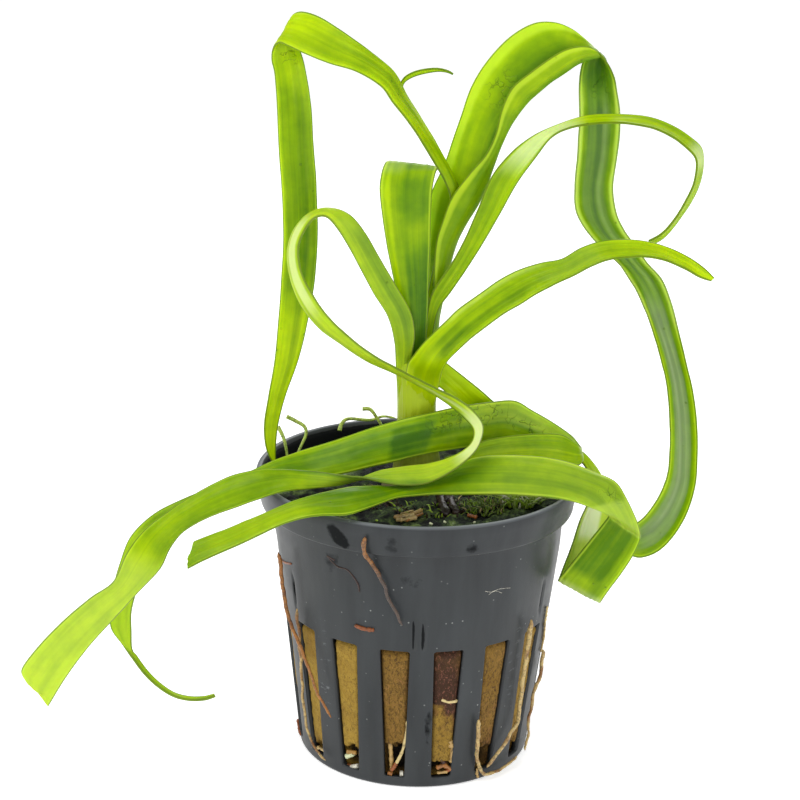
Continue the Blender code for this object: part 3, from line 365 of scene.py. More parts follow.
ACROSS_FRONT = [
    (3.4, 18.7, -1.4, 3.0, 13.9, -1.5, 0.0),
    (6.0, 16.8, -2.0, 5.2, 11.9, -2.1, 0.1),
    (9.8, 13.8, -3.8, 7.8, 9.0, -4.2, 0.2),
    (14.2, 10.1, -7.0, 12.0, 5.4, -6.4, 0.2),
    (19.6, 6.8, -8.4, 17.6, 2.2, -7.4, 0.2),
    (24.6, 4.4, -7.4, 23.2, 1.4, -6.4, 0.1),
    (27.6, 2.9, -6.4, 26.4, 1.7, -5.2, 0.0),
    (29.3, 1.2, -4.6, 28.4, -0.4, -2.6, 0.0),
    (30.7, -0.8, -2.4, 28.7, -2.6, 1.4, 0.0),
    (31.8, -3.0, -0.6, 28.6, -4.2, 4.0, 0.1),
    (32.4, -5.4, 0.4, 28.4, -5.8, 5.4, 0.1),
    (32.3, -9.4, 1.2, 27.1, -8.8, 5.0, 0.1),
    (31.7, -14.2, 2.6, 25.6, -13.2, 5.6, 0.1),
    (31.2, -19.0, 4.6, 24.1, -17.2, 6.6, 0.1),
    (30.8, -21.9, 6.6, 23.5, -18.7, 7.8, 0.0),
    (30.6, -22.9, 8.8, 23.4, -19.0, 9.4, 0.0),
    (31.1, -22.2, 10.8, 23.9, -18.2, 10.8, 0.0),
    (32.4, -20.3, 11.6, 25.4, -16.4, 11.6, -0.1),
    (34.3, -17.8, 11.6, 27.7, -13.6, 11.4, -0.1),
    (36.0, -15.2, 11.0, 29.9, -10.8, 10.8, -0.1),
    (37.0, -13.2, 10.4, 31.3, -9.0, 10.4, 0.0),
    (37.5, -11.8, 10.6, 32.0, -8.0, 10.9, 0.0),
    (37.5, -10.8, 12.0, 31.6, -7.6, 12.4, 0.0),
    (36.8, -8.6, 12.6, 30.4, -7.1, 13.6, 0.1),
    (35.2, -5.2, 11.8, 28.6, -6.5, 14.6, 0.2),
    (33.2, -2.2, 10.6, 26.4, -5.8, 15.8, 0.2),
    (29.8, -0.6, 9.8, 23.8, -5.2, 17.0, 0.2),
    (25.4, 1.0, 9.6, 20.5, -4.9, 16.6, 0.3),
    (20.8, 2.0, 9.4, 16.2, -4.6, 16.2, 0.3),
    (15.4, 2.3, 9.2, 11.0, -4.5, 15.8, 0.3),
    (9.8, 2.0, 9.2, 5.6, -4.5, 15.8, 0.3),
    (4.0, -0.4, 10.6, 0.6, -4.6, 16.6, 0.3),
    (-2.4, -2.8, 13.8, -4.4, -5.2, 19.4, 0.3),
    (-8.4, -2.9, 17.6, -8.8, -6.8, 23.4, 0.3),
    (-13.2, -3.3, 20.4, -12.4, -7.9, 26.8, 0.3),
    (-18.6, -4.6, 22.0, -17.4, -8.1, 27.6, 0.3),
    (-24.0, -6.5, 23.0, -22.6, -9.2, 28.0, 0.3),
    (-30.0, -9.0, 23.8, -29.0, -12.2, 28.0, 0.3),
    (-35.4, -11.1, 24.4, -35.0, -14.8, 28.2, 0.2),
    (-38.6, -12.4, 25.0, -39.7, -17.1, 28.0, 0.1),
]

# Roots on the outside of the pot, each as a radius, how much further than
# the common gap it stands off the wall, and its way down as right and up.
ROOT_GAP = 0.5

ROOTS = {
    "root_left": (0.5, 1.1, [
        (-24.2, -14.4), (-23.9, -17.0), (-23.3, -21.5), (-22.2, -26.0),
        (-20.4, -30.6), (-19.0, -34.4), (-17.2, -39.0), (-15.2, -42.4)]),
    "root_left_pale": (0.42, 0.0, [
        (-21.1, -23.8), (-20.6, -29.0), (-20.3, -36.0), (-19.6, -42.5),
        (-18.2, -47.2), (-16.2, -49.6)]),
    "root_front": (0.42, 0.0, [
        (-9.5, -11.8), (-9.4, -14.4), (-7.8, -17.0), (-6.5, -19.6),
        (-5.0, -23.0), (-3.0, -26.6)]),
    "root_right": (0.6, 0.0, [
        (18.9, -25.6), (18.3, -30.0), (17.5, -35.5), (16.8, -41.0),
        (15.9, -44.4), (12.6, -49.2), (11.2, -51.0)]),
    "root_right_edge": (0.5, 0.0, [
        (20.8, -30.8), (20.6, -34.0), (19.6, -37.4), (18.7, -41.4),
        (18.3, -45.0), (17.9, -48.0)]),
    "root_low": (0.5, 0.0, [
        (9.9, -42.8), (9.7, -47.0), (9.8, -50.0), (11.0, -51.9),
        (13.6, -51.2), (16.4, -49.0)]),
}

# Thin pale shoots that stand up from the wool at the back left.
ROOTLETS = {
    "rootlet_left": [
        (-24.3, 7.2, -7.0), (-23.4, 5.4, -6.6), (-22.9, 3.4, -6.2),
        (-22.5, 0.6, -5.6)],
    "rootlet_hooked": [
        (-22.8, 8.9, -9.0), (-21.4, 8.2, -9.0), (-19.8, 7.2, -8.8),
        (-19.5, 5.9, -8.4), (-20.1, 4.4, -8.0), (-21.0, 2.4, -7.2),
        (-21.4, 0.6, -6.6)],
    "rootlet_back": [
        (-13.8, 6.5, -12.0), (-13.4, 7.7, -12.8), (-12.2, 8.5, -13.4),
        (-8.6, 8.3, -13.6), (-6.4, 8.9, -13.8), (-4.2, 8.6, -13.6)],
    "rootlet_middle": [
        (-9.9, 10.2, -7.4), (-8.6, 10.1, -7.4), (-7.6, 8.9, -7.2),
        (-6.6, 7.2, -7.0), (-6.0, 4.6, -6.8)],
}
ROOTLET_RADIUS = 0.38


def linear(hex_colour):
    """An sRGB hex colour as linear red, green and blue."""
    made = []
    for start in (1, 3, 5):
        share = int(hex_colour[start:start + 2], 16) / 255.0
        made.append(share / 12.92 if share <= 0.04045 else ((share + 0.055) / 1.055) ** 2.4)
    return tuple(made)


def sighted(seen):
    """Points in millimetres from right, up and near: each lies on its line of
    sight through the rim's plane, as far along as near says."""
    seen = np.asarray(seen, float)
    plane = RIM_CENTRE + seen[..., 0:1] * RIGHT + seen[..., 1:2] * UP
    share = (-seen[..., 2:3] - plane[..., 1:2]) / (EYE[1] - plane[..., 1:2])
    return plane + share * (EYE - plane)


def smooth(points, count):
    """Count points on a smooth curve through the given ones: each span is a
    Hermite cubic whose end slopes are half the step between neighbours."""
    points = np.asarray(points, float)
    last = len(points) - 1
    place = np.linspace(0.0, last, count)
    index = np.clip(place.astype(int), 0, last - 1)
    t = (place - index).reshape((-1,) + (1,) * (points.ndim - 1))
    a = points[np.maximum(index - 1, 0)]
    b = points[index]
    c = points[index + 1]
    d = points[np.minimum(index + 2, last)]
    return (b * (2 * t**3 - 3 * t**2 + 1) + c * (3 * t**2 - 2 * t**3)
            + (c - a) * 0.5 * (t**3 - 2 * t**2 + t) + (d - b) * 0.5 * (t**3 - t**2))


def unit(vectors):
    """Each vector divided by its length."""
    return vectors / np.maximum(np.linalg.norm(vectors, axis=-1, keepdims=True), 1e-12)


def together(*values):
    """Arrays spread to one shape and stacked as the parts of one vector."""
    return np.stack(np.broadcast_arrays(*values), axis=-1)


def round_turn(count):
    """Count angles once round, as one row."""
    return np.linspace(0, 2 * math.pi, count, endpoint=False)[None, :]


def waves(places, scale, seed):
    """Soft noise from -1 to 1: a sum of sines along random directions in three
    layers, each half as strong and twice as fine as the one before."""
    draw = np.random.default_rng(seed)
    places = np.asarray(places, float) / scale
    total = np.zeros(places.shape[:-1])
    strength = 1.0
    whole = 0.0
    for layer in range(3):
        for _ in range(4):
            way = unit(draw.normal(size=places.shape[-1])) * 2.0**layer * 2.0 * math.pi
            total += strength * np.sin(places @ way + draw.uniform(0, 2 * math.pi))
            whole += strength * 0.5
        strength *= 0.5
    return total / whole


def window(value, low, high, soft):
    """1 between low and high and 0 beyond them, with a straight slope, soft
    wide, across each."""
    return np.clip((value - low) / soft + 0.5, 0, 1) * np.clip((high - value) / soft + 0.5, 0, 1)


def blunt(place, steep, least):
    """A bit's thickness at a place from 0 to 1 along it, as a share: least at
    both ends, and rising steeply to 1."""
    return np.clip(np.minimum(place, 1 - place) * steep + least, 0, 1)


def grid_faces(rows, columns):
    """The quads of a grid of rows by columns whose last column meets its
    first."""
    row, column = np.meshgrid(np.arange(rows - 1), np.arange(columns), indexing="ij")
    after = (column + 1) % columns
    return np.stack([row * columns + column, row * columns + after,
                     (row + 1) * columns + after, (row + 1) * columns + column],
                    axis=-1).reshape(-1, 4)


def closed_skin(points):
    """A grid of points as one list, its quads, and the triangles that close
    each end row round a middle point of its own. All are turned round where
    the volume that the quads close, a sum of triple products, is negative."""
    rows, columns = points.shape[:2]
    flat = points.reshape(-1, 3)
    count = len(flat)
    column = np.arange(columns)
    after = (column + 1) % columns
    base = count - columns
    fan = np.concatenate([
        np.stack([after, column, np.full(columns, count)], axis=-1),
        np.stack([base + column, base + after, np.full(columns, count + 1)], axis=-1)])
    flat = np.concatenate([flat, [flat[:columns].mean(axis=0), flat[-columns:].mean(axis=0)]])
    quads = grid_faces(rows, columns)
    corner = flat[quads]
    volume = sum(np.einsum("ij,ij->i", corner[:, 0], np.cross(corner[:, step], corner[:, step + 1])).sum()
                 for step in (1, 2))
    return (flat, quads, fan) if volume > 0 else (flat, quads[:, ::-1], fan[:, ::-1])


def with_ends(values):
    """A grid's values as one list, and after them those of its end points."""
    return np.concatenate([values.ravel(), values[0, :1], values[-1, :1]])


def lay_mesh(name, points, quads, triangles=None, floats=None, uv=None):
    """A mesh object from whole arrays: points in millimetres, quads and
    triangles by index, float attributes and one UV place for each point."""
    groups = [np.asarray(group, np.int32) for group in (quads, triangles) if group is not None]
    loops = np.concatenate([group.ravel() for group in groups])
    sizes = np.concatenate([np.full(len(group), group.shape[1], np.int32) for group in groups])
    starts = np.concatenate([[0], np.cumsum(sizes)[:-1]]).astype(np.int32)
    mesh = bpy.data.meshes.new(name)
    mesh.vertices.add(len(points))
    mesh.vertices.foreach_set("co", (np.asarray(points) * MM).astype(np.float32).ravel())
    mesh.loops.add(len(loops))
    mesh.loops.foreach_set("vertex_index", loops)
    mesh.polygons.add(len(sizes))
    mesh.polygons.foreach_set("loop_start", starts)
    mesh.polygons.foreach_set("use_smooth", np.ones(len(sizes), bool))
    mesh.update(calc_edges=True)
    for key, values in (floats or {}).items():
        layer = mesh.attributes.new(key, "FLOAT", "POINT")
        layer.data.foreach_set("value", np.asarray(values, np.float32).ravel())
    if uv is not None:
        layer = mesh.uv_layers.new(name="UVMap")
        layer.data.foreach_set("uv", np.asarray(uv, np.float32)[loops].ravel())
    mesh.validate()
    made = bpy.data.objects.new(name, mesh)
    bpy.context.scene.collection.objects.link(made)
    return made


def seat(piece, node, *finishes):
    """The piece stands for the solid node, takes its slot and rides the plant."""
    for finish in finishes:
        piece.data.materials.append(finish)
    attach(piece, BODY)
    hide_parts(node)
    return piece


def tube(centre, radius, sides):
    """Points of a round tube: a circle carried along the centre line, square
    to it, with its own radius at each place. Its frame is carried along by
    taking out of the last side vector what lies along the new tangent."""
    centre = np.asarray(centre, float)
    tangent = unit(np.gradient(centre, axis=0))
    side = np.empty_like(tangent)
    start = np.array((0.31, 0.17, 0.93))
    side[0] = unit(start - tangent[0] * (start @ tangent[0]))
    for place in range(1, len(centre)):
        carried = side[place - 1] - tangent[place] * (side[place - 1] @ tangent[place])
        side[place] = unit(carried)
    other = np.cross(tangent, side)
    turn = round_turn(sides)[..., None]
    radius = np.broadcast_to(radius, len(centre))[:, None, None]
    return centre[:, None] + radius * (np.cos(turn) * side[:, None] + np.sin(turn) * other[:, None])


# Materials. Each is named for what the surface is and how it came about. A
# pattern's scale on Object coordinates is how many of it go into a metre, so
# it is 1 divided by its real size.


def feed(tree, node, inputs):
    """Fills a node's inputs, by label or number: another node's output is
    linked, and a number, a vector or a colour is set."""
    for key, value in inputs.items():
        socket = node.inputs[key]
        if isinstance(value, bpy.types.NodeSocket):
            tree.links.new(value, socket)
        elif socket.type == "RGBA":
            socket.default_value = (*value, 1.0)
        else:
            socket.default_value = value


def add(tree, kind, inputs=(), out=0, stops=(), **settings):
    """Adds one node with its settings and inputs, and gives its output out.
    Inputs are a dictionary, or values in the node's own order, and stops are a
    colour ramp's pairs of place and colour."""
    node = tree.nodes.new("ShaderNode" + kind)
    node.location = (-2200.0 + 220.0 * (len(tree.nodes) % 9), 900.0 - 40.0 * len(tree.nodes))
    for key, value in settings.items():
        setattr(node, key, value)
    feed(tree, node, inputs if isinstance(inputs, dict) else dict(enumerate(inputs)))
    if stops:
        elements = node.color_ramp.elements
        while len(elements) < len(stops):
            elements.new(0.5)
        for element, (place, colour) in zip(elements, stops):
            element.position = place
            element.color = (*colour, 1.0)
    return node.outputs[out]


def blank(name):
    """A new material with its node tree and its Principled shader."""
    made = bpy.data.materials.new(name)
    made.use_nodes = True
    return made, made.node_tree, made.node_tree.nodes["Principled BSDF"]


# How each leaf is coloured and shaped: its stations, half its thickness in
# millimetres, the number of its ridges, and tone, a short list along the leaf
# of how much painted shade darkens the first edge, the middle and the second
# edge.
LEAVES = {
    "leaf_left_arch": (LEFT_ARCH, 0.25, 6, (
        (0.25, 0.30, 0.30), (0.20, 0.25, 0.25), (0.15, 0.25, 0.10), (0.10, 0.35, 0.20),
        (0.05, 0.15, 0.05), (0.10, 0.30, 0.15), (0.15, 0.40, 0.15), (0.15, 0.35, 0.15),
        (0.15, 0.30, 0.20))),
    "leaf_tall": (TALL, 0.25, 6, (
        (0.35, 0.40, 0.25), (0.20, 0.35, 0.15), (0.15, 0.35, 0.15), (0.10, 0.40, 0.15),
        (0.10, 0.35, 0.10), (0.20, 0.55, 0.25), (0.15, 0.58, 0.25), (0.15, 0.50, 0.20),
        (0.15, 0.55, 0.20), (0.15, 0.50, 0.20), (0.15, 0.45, 0.25))),
    "leaf_ring": (RING, 0.22, 5, (
        (0.30, 0.45, 0.30), (0.25, 0.40, 0.25), (0.20, 0.35, 0.20), (0.10, 0.15, 0.10),
        (0.20, 0.35, 0.20), (0.20, 0.35, 0.20), (0.20, 0.30, 0.20))),
    "leaf_right": (RIGHT_LEAF, 0.25, 6, (
        (0.10, 0.15, 0.10), (0.15, 0.25, 0.20), (0.30, 0.45, 0.25), (0.30, 0.50, 0.30),
        (0.15, 0.25, 0.15), (0.0, 0.05, 0.0))),
    "leaf_folded": (FOLDED, 0.25, 8, (
        (0.35, 0.45, 0.50), (0.25, 0.35, 0.35), (0.25, 0.35, 0.30), (0.20, 0.35, 0.25),
        (0.10, 0.15, 0.10), (0.20, 0.35, 0.20))),
    "leaf_left_loop": (LEFT_LOOP, 0.25, 6, (
        (0.10, 0.15, 0.10), (0.30, 0.45, 0.25), (0.20, 0.30, 0.20), (0.15, 0.20, 0.15),
        (0.20, 0.25, 0.20), (0.15, 0.20, 0.15), (0.20, 0.30, 0.20), (0.35, 0.40, 0.35),
        (0.15, 0.25, 0.15), (0.02, 0.05, 0.02), (0.0, 0.02, 0.0))),
    "leaf_thin": (THIN, 0.2, 2, ((0.20, 0.30, 0.20), (0.20, 0.30, 0.20))),
    "leaf_across_back": (ACROSS_BACK, 0.25, 8, (
        (0.15, 0.25, 0.15), (0.20, 0.30, 0.20), (0.20, 0.35, 0.25), (0.20, 0.35, 0.30),
        (0.20, 0.35, 0.30), (0.15, 0.30, 0.25), (0.15, 0.30, 0.15), (0.20, 0.30, 0.20))),
    "leaf_across_front": (ACROSS_FRONT, 0.25, 8, (
        (0.00, 0.05, 0.00), (0.05, 0.12, 0.10), (0.15, 0.25, 0.15), (0.40, 0.50, 0.40),
        (0.30, 0.50, 0.35), (0.25, 0.45, 0.30), (0.30, 0.45, 0.30), (0.25, 0.40, 0.25),
        (0.20, 0.30, 0.20))),
}
# These leaves stand behind the others and take the shaded finish, a darker copy of the leaf colours: painted
# shade.
SHADED_LEAVES = ("leaf_tall", "leaf_folded", "leaf_across_back")

# Points round a leaf's section, rows of points for each station with the most
# that a leaf may have, and the lengths in millimetres of the ridges' wander,
# of the skin's swell and of one unit of the UV map.
LEAF_ACROSS = 56
ROWS_A_STATION = 9
MOST_ROWS = 400
LEAF_THICKNESS = 0.5
RIDGE_DEEPEST = 0.06
WANDER_LENGTH = 30.0
SWELL_LENGTH = 9.0
UV_LENGTH = 100.0

# Stations added below a leaf's own table, so that its base runs down into the
# neck as a sheath does.
SHEATHS = {
    "leaf_left_arch": [(-1.5, 14.5, -1.6, 1.2, 14.5, -1.8, -0.2)],
    "leaf_tall": [(-0.6, 14.5, -2.4, 1.4, 14.5, -0.9, 1.8, 14.5, -1.8)],
    "leaf_ring": [(-0.8, 14.5, 0.2, 1.2, 14.5, 0.0, 0.2)],
    "leaf_right": [(-2.6, 12.5, 1.6, 2.2, 10.0, 1.0, -1.1),
                   (-2.5, 15.6, 2.4, 2.9, 13.0, 1.6, -1.1)],
    "leaf_folded": [(-2.2, 13.5, 0.6, 0.8, 13.5, 0.3, -0.2)],
    "leaf_left_loop": [(-2.0, 11.0, 1.6, -3.8, 11.0, 0.0, 0.2),
                       (-1.9, 14.2, 2.3, -4.0, 14.2, 0.3, 0.3)],
    "leaf_across_front": [(0.6, 19.4, -0.6, 0.6, 13.0, -0.6, 0.0)],
}

# Soft marks of painted light on the leaves: from and to station, from and to
# share of the way across, how much darker with painted shade (below nought,
# lighter with painted light), how much paler with a painted whitish sheen, and
# how soft the ends are along the leaf, in stations, where that isn't the usual.
MARKS = {
    "leaf_tall": [
        (0.5, 7.0, 0.30, 0.58, 0.35, 0.0), (0.0, 9.0, 0.62, 0.96, 0.15, 0.0),
        (7.0, 16.0, 0.34, 0.52, 0.38, 0.0), (8.0, 14.0, 0.02, 0.2, -0.15, 0.0),
        (7.0, 15.0, 0.60, 0.72, 0.15, 0.0), (10.0, 13.0, 0.1, 0.35, 0.15, 0.0),
        (18.0, 28.0, 0.0, 0.09, -0.6, 0.15), (18.0, 28.0, 0.91, 1.0, -0.5, 0.15),
        (18.5, 26.0, 0.42, 0.55, 0.2, 0.0), (18.5, 26.5, 0.60, 0.70, -0.1, 0.10),
        (27.0, 36.0, 0.15, 0.78, 0.26, 0.18), (28.0, 35.0, 0.30, 0.40, 0.0, 0.10),
        (28.0, 34.0, 0.58, 0.66, -0.1, 0.08), (16.0, 18.0, 0.0, 1.0, 0.2, 0.0),
        (18.5, 27.0, 0.2, 0.8, 0.08, 0.06)],
    "leaf_ring": [
        (7.6, 10.4, 0.1, 0.9, -0.1, 0.45), (15.4, 17.0, 0.1, 0.9, -0.1, 0.45),
        (3.0, 7.5, 0.0, 0.35, 0.15, 0.0), (0.0, 14.0, 0.0, 1.0, 0.06, 0.0)],
    "leaf_left_loop": [
        (0.8, 5.5, 0.05, 0.5, 0.28, 0.0), (8.5, 12.5, 0.3, 0.8, -0.1, 0.4),
        (20.0, 23.5, 0.2, 0.9, -0.15, 0.5), (16.0, 20.5, 0.0, 0.25, 0.4, 0.0),
        (17.0, 20.0, 0.45, 0.7, -0.1, 0.35), (25.0, 31.0, 0.75, 1.0, 0.35, 0.0),
        (34.0, 40.0, 0.0, 0.35, 0.1, 0.0), (31.0, 36.5, 0.0, 1.0, 0.25, 0.0),
        (0.0, 30.0, 0.0, 1.0, -0.06, 0.03), (37.0, 44.0, 0.0, 1.0, 0.04, 0.08)],
    "leaf_folded": [
        (6.4, 8.6, 0.4, 1.1, 0.16, 0.05, 0.5), (6.3, 8.4, 0.0, 0.4, 0.0, 0.12),
        (0.0, 5.7, 0.5, 0.95, 0.08, 0.0), (1.0, 6.0, 0.08, 0.2, -0.2, 0.0),
        (-1.0, 3.0, 0.4, 1.0, 0.40, 0.0), (4.0, 5.8, 0.3, 0.9, 0.2, 0.0)],
    "leaf_right": [
        (2.5, 4.6, 0.3, 0.7, 0.3, 0.0), (2.0, 8.0, 0.6, 0.85, 0.2, 0.0),
        (4.0, 9.0, 0.05, 0.16, -0.1, 0.1)],
    "leaf_left_arch": [
        (1.0, 6.0, 0.55, 1.0, 0.2, 0.0), (7.0, 12.0, 0.4, 0.65, 0.2, 0.0),
        (18.0, 26.0, 0.55, 0.8, 0.12, 0.0), (17.5, 22.5, 0.1, 1.0, 0.22, 0.0),
        (22.8, 29.0, 0.0, 1.0, -0.22, 0.0), (3.5, 6.5, 0.0, 1.0, 0.12, 0.0)],
    "leaf_across_back": [
        (16.0, 17.25, 0.2, 1.0, 0.36, 0.0, 0.25), (9.0, 15.0, 0.0, 0.5, -0.12, 0.05),
        (17.5, 21.0, 0.2, 0.7, 0.12, 0.0), (25.5, 31.0, 0.0, 1.0, -0.35, 0.03),
        (31.0, 39.0, 0.0, 1.0, -0.2, 0.02)],
    "leaf_across_front": [
        (16.9, 20.85, 0.26, 1.2, 0.36, 0.0, 0.8), (20.9, 24.0, 0.0, 1.0, -0.16, 0.08, 0.4),
        (24.0, 29.0, 0.0, 1.0, 0.02, 0.03), (38.2, 40.0, 0.0, 1.0, 0.25, 0.0),
        (14.9, 15.9, 0.0, 1.0, -0.1, 0.14, 0.6), (9.0, 14.9, 0.0, 1.0, -0.5, 0.10, 0.4),
        (10.0, 11.6, 0.38, 0.92, 0.0, 0.75, 0.5), (29.5, 35.0, 0.0, 1.0, 0.3, 0.0),
        (32.0, 36.0, 0.0, 0.4, 0.15, 0.0), (24.0, 29.0, 0.55, 0.75, 0.12, 0.0)],
}

# Where water has dried or stands in drops: stations and shares across.
WET = {
    "leaf_across_back": [(13.4, 16.2, 0.04, 0.5), (11.0, 13.0, 0.3, 0.6)],
    "leaf_tall": [(1.5, 3.0, 0.1, 0.3), (9.0, 10.2, 0.1, 0.3), (17.4, 18.4, 0.3, 0.8)],
    "leaf_left_arch": [(15.6, 16.8, 0.3, 0.8)], "leaf_across_front": [(24.0, 25.0, 0.2, 0.5)],
}


def soft_marks(name, station, q):
    """How much painted shade darkens, painted sheen pales and water wets each
    point of a leaf: each mark is a window along the stations times one across
    the leaf, and the share of a dark or pale one is eased by 3s^2 - 2s^3."""
    dark, pale, wet = np.zeros((3, *np.broadcast_shapes(station.shape, q.shape)))
    for low, high, left, right, darker, paler, *soft in MARKS.get(name, []):
        share = window(station, low, high, soft[0] if soft else 1.2) * window(q, left, right, 0.09)
        share = share * share * (3 - 2 * share)
        dark += darker * share
        pale += paler * share
    for low, high, left, right in WET.get(name, []):
        wet += window(station, low, high, 0.9) * window(q, left, right, 0.12)
    return dark, pale, wet


# Torn tips: where the nick is across the leaf, and how deep, in millimetres.
TORN = {"leaf_left_loop": (0.38, 0.9), "leaf_across_front": (0.6, -0.3)}


def leaf_middle(stations):
    """The two edges and the middle of a leaf at its stations, in millimetres.
    The middle is given, or stands off the edges' own middle along the leaf's
    normal by the last number of the station."""
    first = sighted([station[0:3] for station in stations])
    second = sighted([station[3:6] for station in stations])
    if len(stations[0]) == 9:
        return first, sighted([station[6:9] for station in stations]), second
    middle = (first + second) / 2
    index = np.arange(len(stations))
    ahead = np.minimum(index + 1, len(stations) - 1)
    behind = np.maximum(index - 1, 0)
    normal = unit(np.cross(middle[ahead] - middle[behind], second - first))
    return first, middle + normal * np.array([station[6] for station in stations])[:, None], second


def leaf_surface(stations, half, ridges, seed, rows, lift):
    """A strap leaf as a closed skin. Across the leaf runs q from 0 to 1, on
    the parabola through the first edge, the middle and the second edge. Round
    the section runs a turn v with q = (1 - cos v) / 2, so that the front goes
    out and the back comes home, and each point stands off the middle sheet
    along its normal by half the thickness times the square root of
    1 - |2q - 1|^6, which rounds the margins. Ridges are a cosine in q, and
    slow waves along the leaf stir the sheet so that no two run quite alike."""
    first, middle, second = (smooth(line, rows)[:, None] for line in leaf_middle(stations))
    turn = round_turn(LEAF_ACROSS)
    q = ((1 - np.cos(turn)) / 2)[..., None]
    sheet = first * (1 - q) * (1 - 2 * q) + middle * 4 * q * (1 - q) + second * q * (2 * q - 1)
    along = unit(np.gradient(sheet, axis=0))
    across = first * (4 * q - 3) + middle * (4 - 8 * q) + second * (4 * q - 1)
    width = np.linalg.norm(across, axis=-1)
    normal = unit(np.cross(along, unit(across)))
    length = np.concatenate([[0], np.cumsum(np.linalg.norm(
        np.diff(middle[:, 0], axis=0), axis=-1))])[:, None]
    q = q[..., 0]
    body = np.clip(1 - np.abs(2 * q - 1) ** 6, 0, 1) ** 0.5
    wander = waves(together(q * 1.5, length / WANDER_LENGTH), 1.0, seed)
    ridge = np.cos(2 * math.pi * (ridges * q + 0.35 * wander)) * body
    swell = waves(together(q * 2.0, length / SWELL_LENGTH), 1.0, seed + 1)
    off = (np.sign(np.sin(turn)) * half * body + ridge * 0.7 * np.minimum(width / 90, RIDGE_DEEPEST)
           + swell * np.minimum(width / 60, lift))
    from_edge = (0.5 - np.abs(q - 0.5)) * width
    return sheet + normal * off[..., None], q, length, from_edge


def ribbon_painted_shade(tone, rows, q):
    """How much painted shade darkens each point: the tone list smoothed along
    the leaf, and across it the middle's number, which gives way to the nearer
    edge's by |2q - 1|^2.4."""
    line = smooth(np.array(tone), rows)
    first, middle, second = line[:, 0:1], line[:, 1:2], line[:, 2:3]
    blend = np.abs(2 * q - 1) ** 2.4
    edge = np.where(q < 0.5, first, second)
    return np.clip(middle * (1 - blend) + edge * blend, 0, 1)


def make_leaf(name, finish, blade, lift):
    """One leaf from its table, closed at both ends. A torn tip's last rows are
    pulled back by two bell curves, its nick and a smaller one beside it."""
    stations, half, ridges, tone = LEAVES[name]
    sheath = SHEATHS.get(name, [])
    stations = sheath + stations
    seed = 11 + 7 * list(LEAVES).index(name)
    rows = min(len(stations) * ROWS_A_STATION, MOST_ROWS)
    points, q, length, from_edge = leaf_surface(
        stations, half * blade / LEAF_THICKNESS, ridges, seed, rows, lift)
    if name in TORN:
        nick, depth = TORN[name]
        back = unit(points[-9] - points[-1]) * depth
        bite = np.exp(-((q - nick) / 0.13) ** 2) + 0.5 * np.exp(-((q - nick - 0.22) / 0.06) ** 2)
        points[-8:] += (np.arange(8) / 7)[:, None, None] * bite[..., None] * back
    station = np.linspace(-len(sheath), len(stations) - len(sheath) - 1, rows)[:, None]
    # Painted shade from the tone list and the marks, and painted sheen from the marks.
    darker, pale, wet = soft_marks(name, station, q)
    dark = np.clip(ribbon_painted_shade(tone, rows, q) + darker, 0, 1)
    flat, quads, fan = closed_skin(points)
    uv = together(*(with_ends(values) for values in np.broadcast_arrays(q, length / UV_LENGTH)))
    leaf = lay_mesh(name + "_grown", flat, quads, fan, {
        "dark": with_ends(dark), "pale": with_ends(pale), "wet": with_ends(wet),
        "rim": with_ends(from_edge)}, uv)
    return seat(leaf, name, finish)


def wall_radius(height):
    """The pot's outer radius at a height: the wall's taper, then the lip's."""
    height = np.asarray(height, float)
    wall = BASE_RADIUS + (WALL_TOP_RADIUS - BASE_RADIUS) * np.clip(height, 0, None) / LIP_LOW
    lip = LIP_LOWER_RADIUS + (RIM_RADIUS - LIP_LOWER_RADIUS) * (height - LIP_LOW) / LIP_HEIGHT
    return np.where(height >= LIP_LOW, np.minimum(lip, RIM_RADIUS), wall)


def on_wall(right, up, lift):
    """Where a line of sight first comes within lift of the pot's outside: the
    first of many steps from the eye's side that is near enough, or the step
    that comes nearest, moved straight out or in to be lift away."""
    near = np.arange(RIM_RADIUS + 4.0, 0.0, -0.02)
    points = sighted(together(right, up, near))
    gap = np.hypot(points[:, 0], points[:, 1]) - wall_radius(points[:, 2]) - lift
    inside = np.nonzero(gap <= 0)[0]
    if len(inside):
        return points[inside[0]]
    point = points[np.argmin(gap)]
    point[:2] *= (wall_radius(point[2]) + lift) / np.hypot(point[0], point[1])
    return point


def slot_half(height):
    """Half a slot's width, which grows evenly with height."""
    share = np.clip((height - SLOT_LOW) / (SLOT_HIGH - SLOT_LOW), 0, 1)
    return (SLOT_WIDTH_LOW + (SLOT_WIDTH_HIGH - SLOT_WIDTH_LOW) * share) / 2


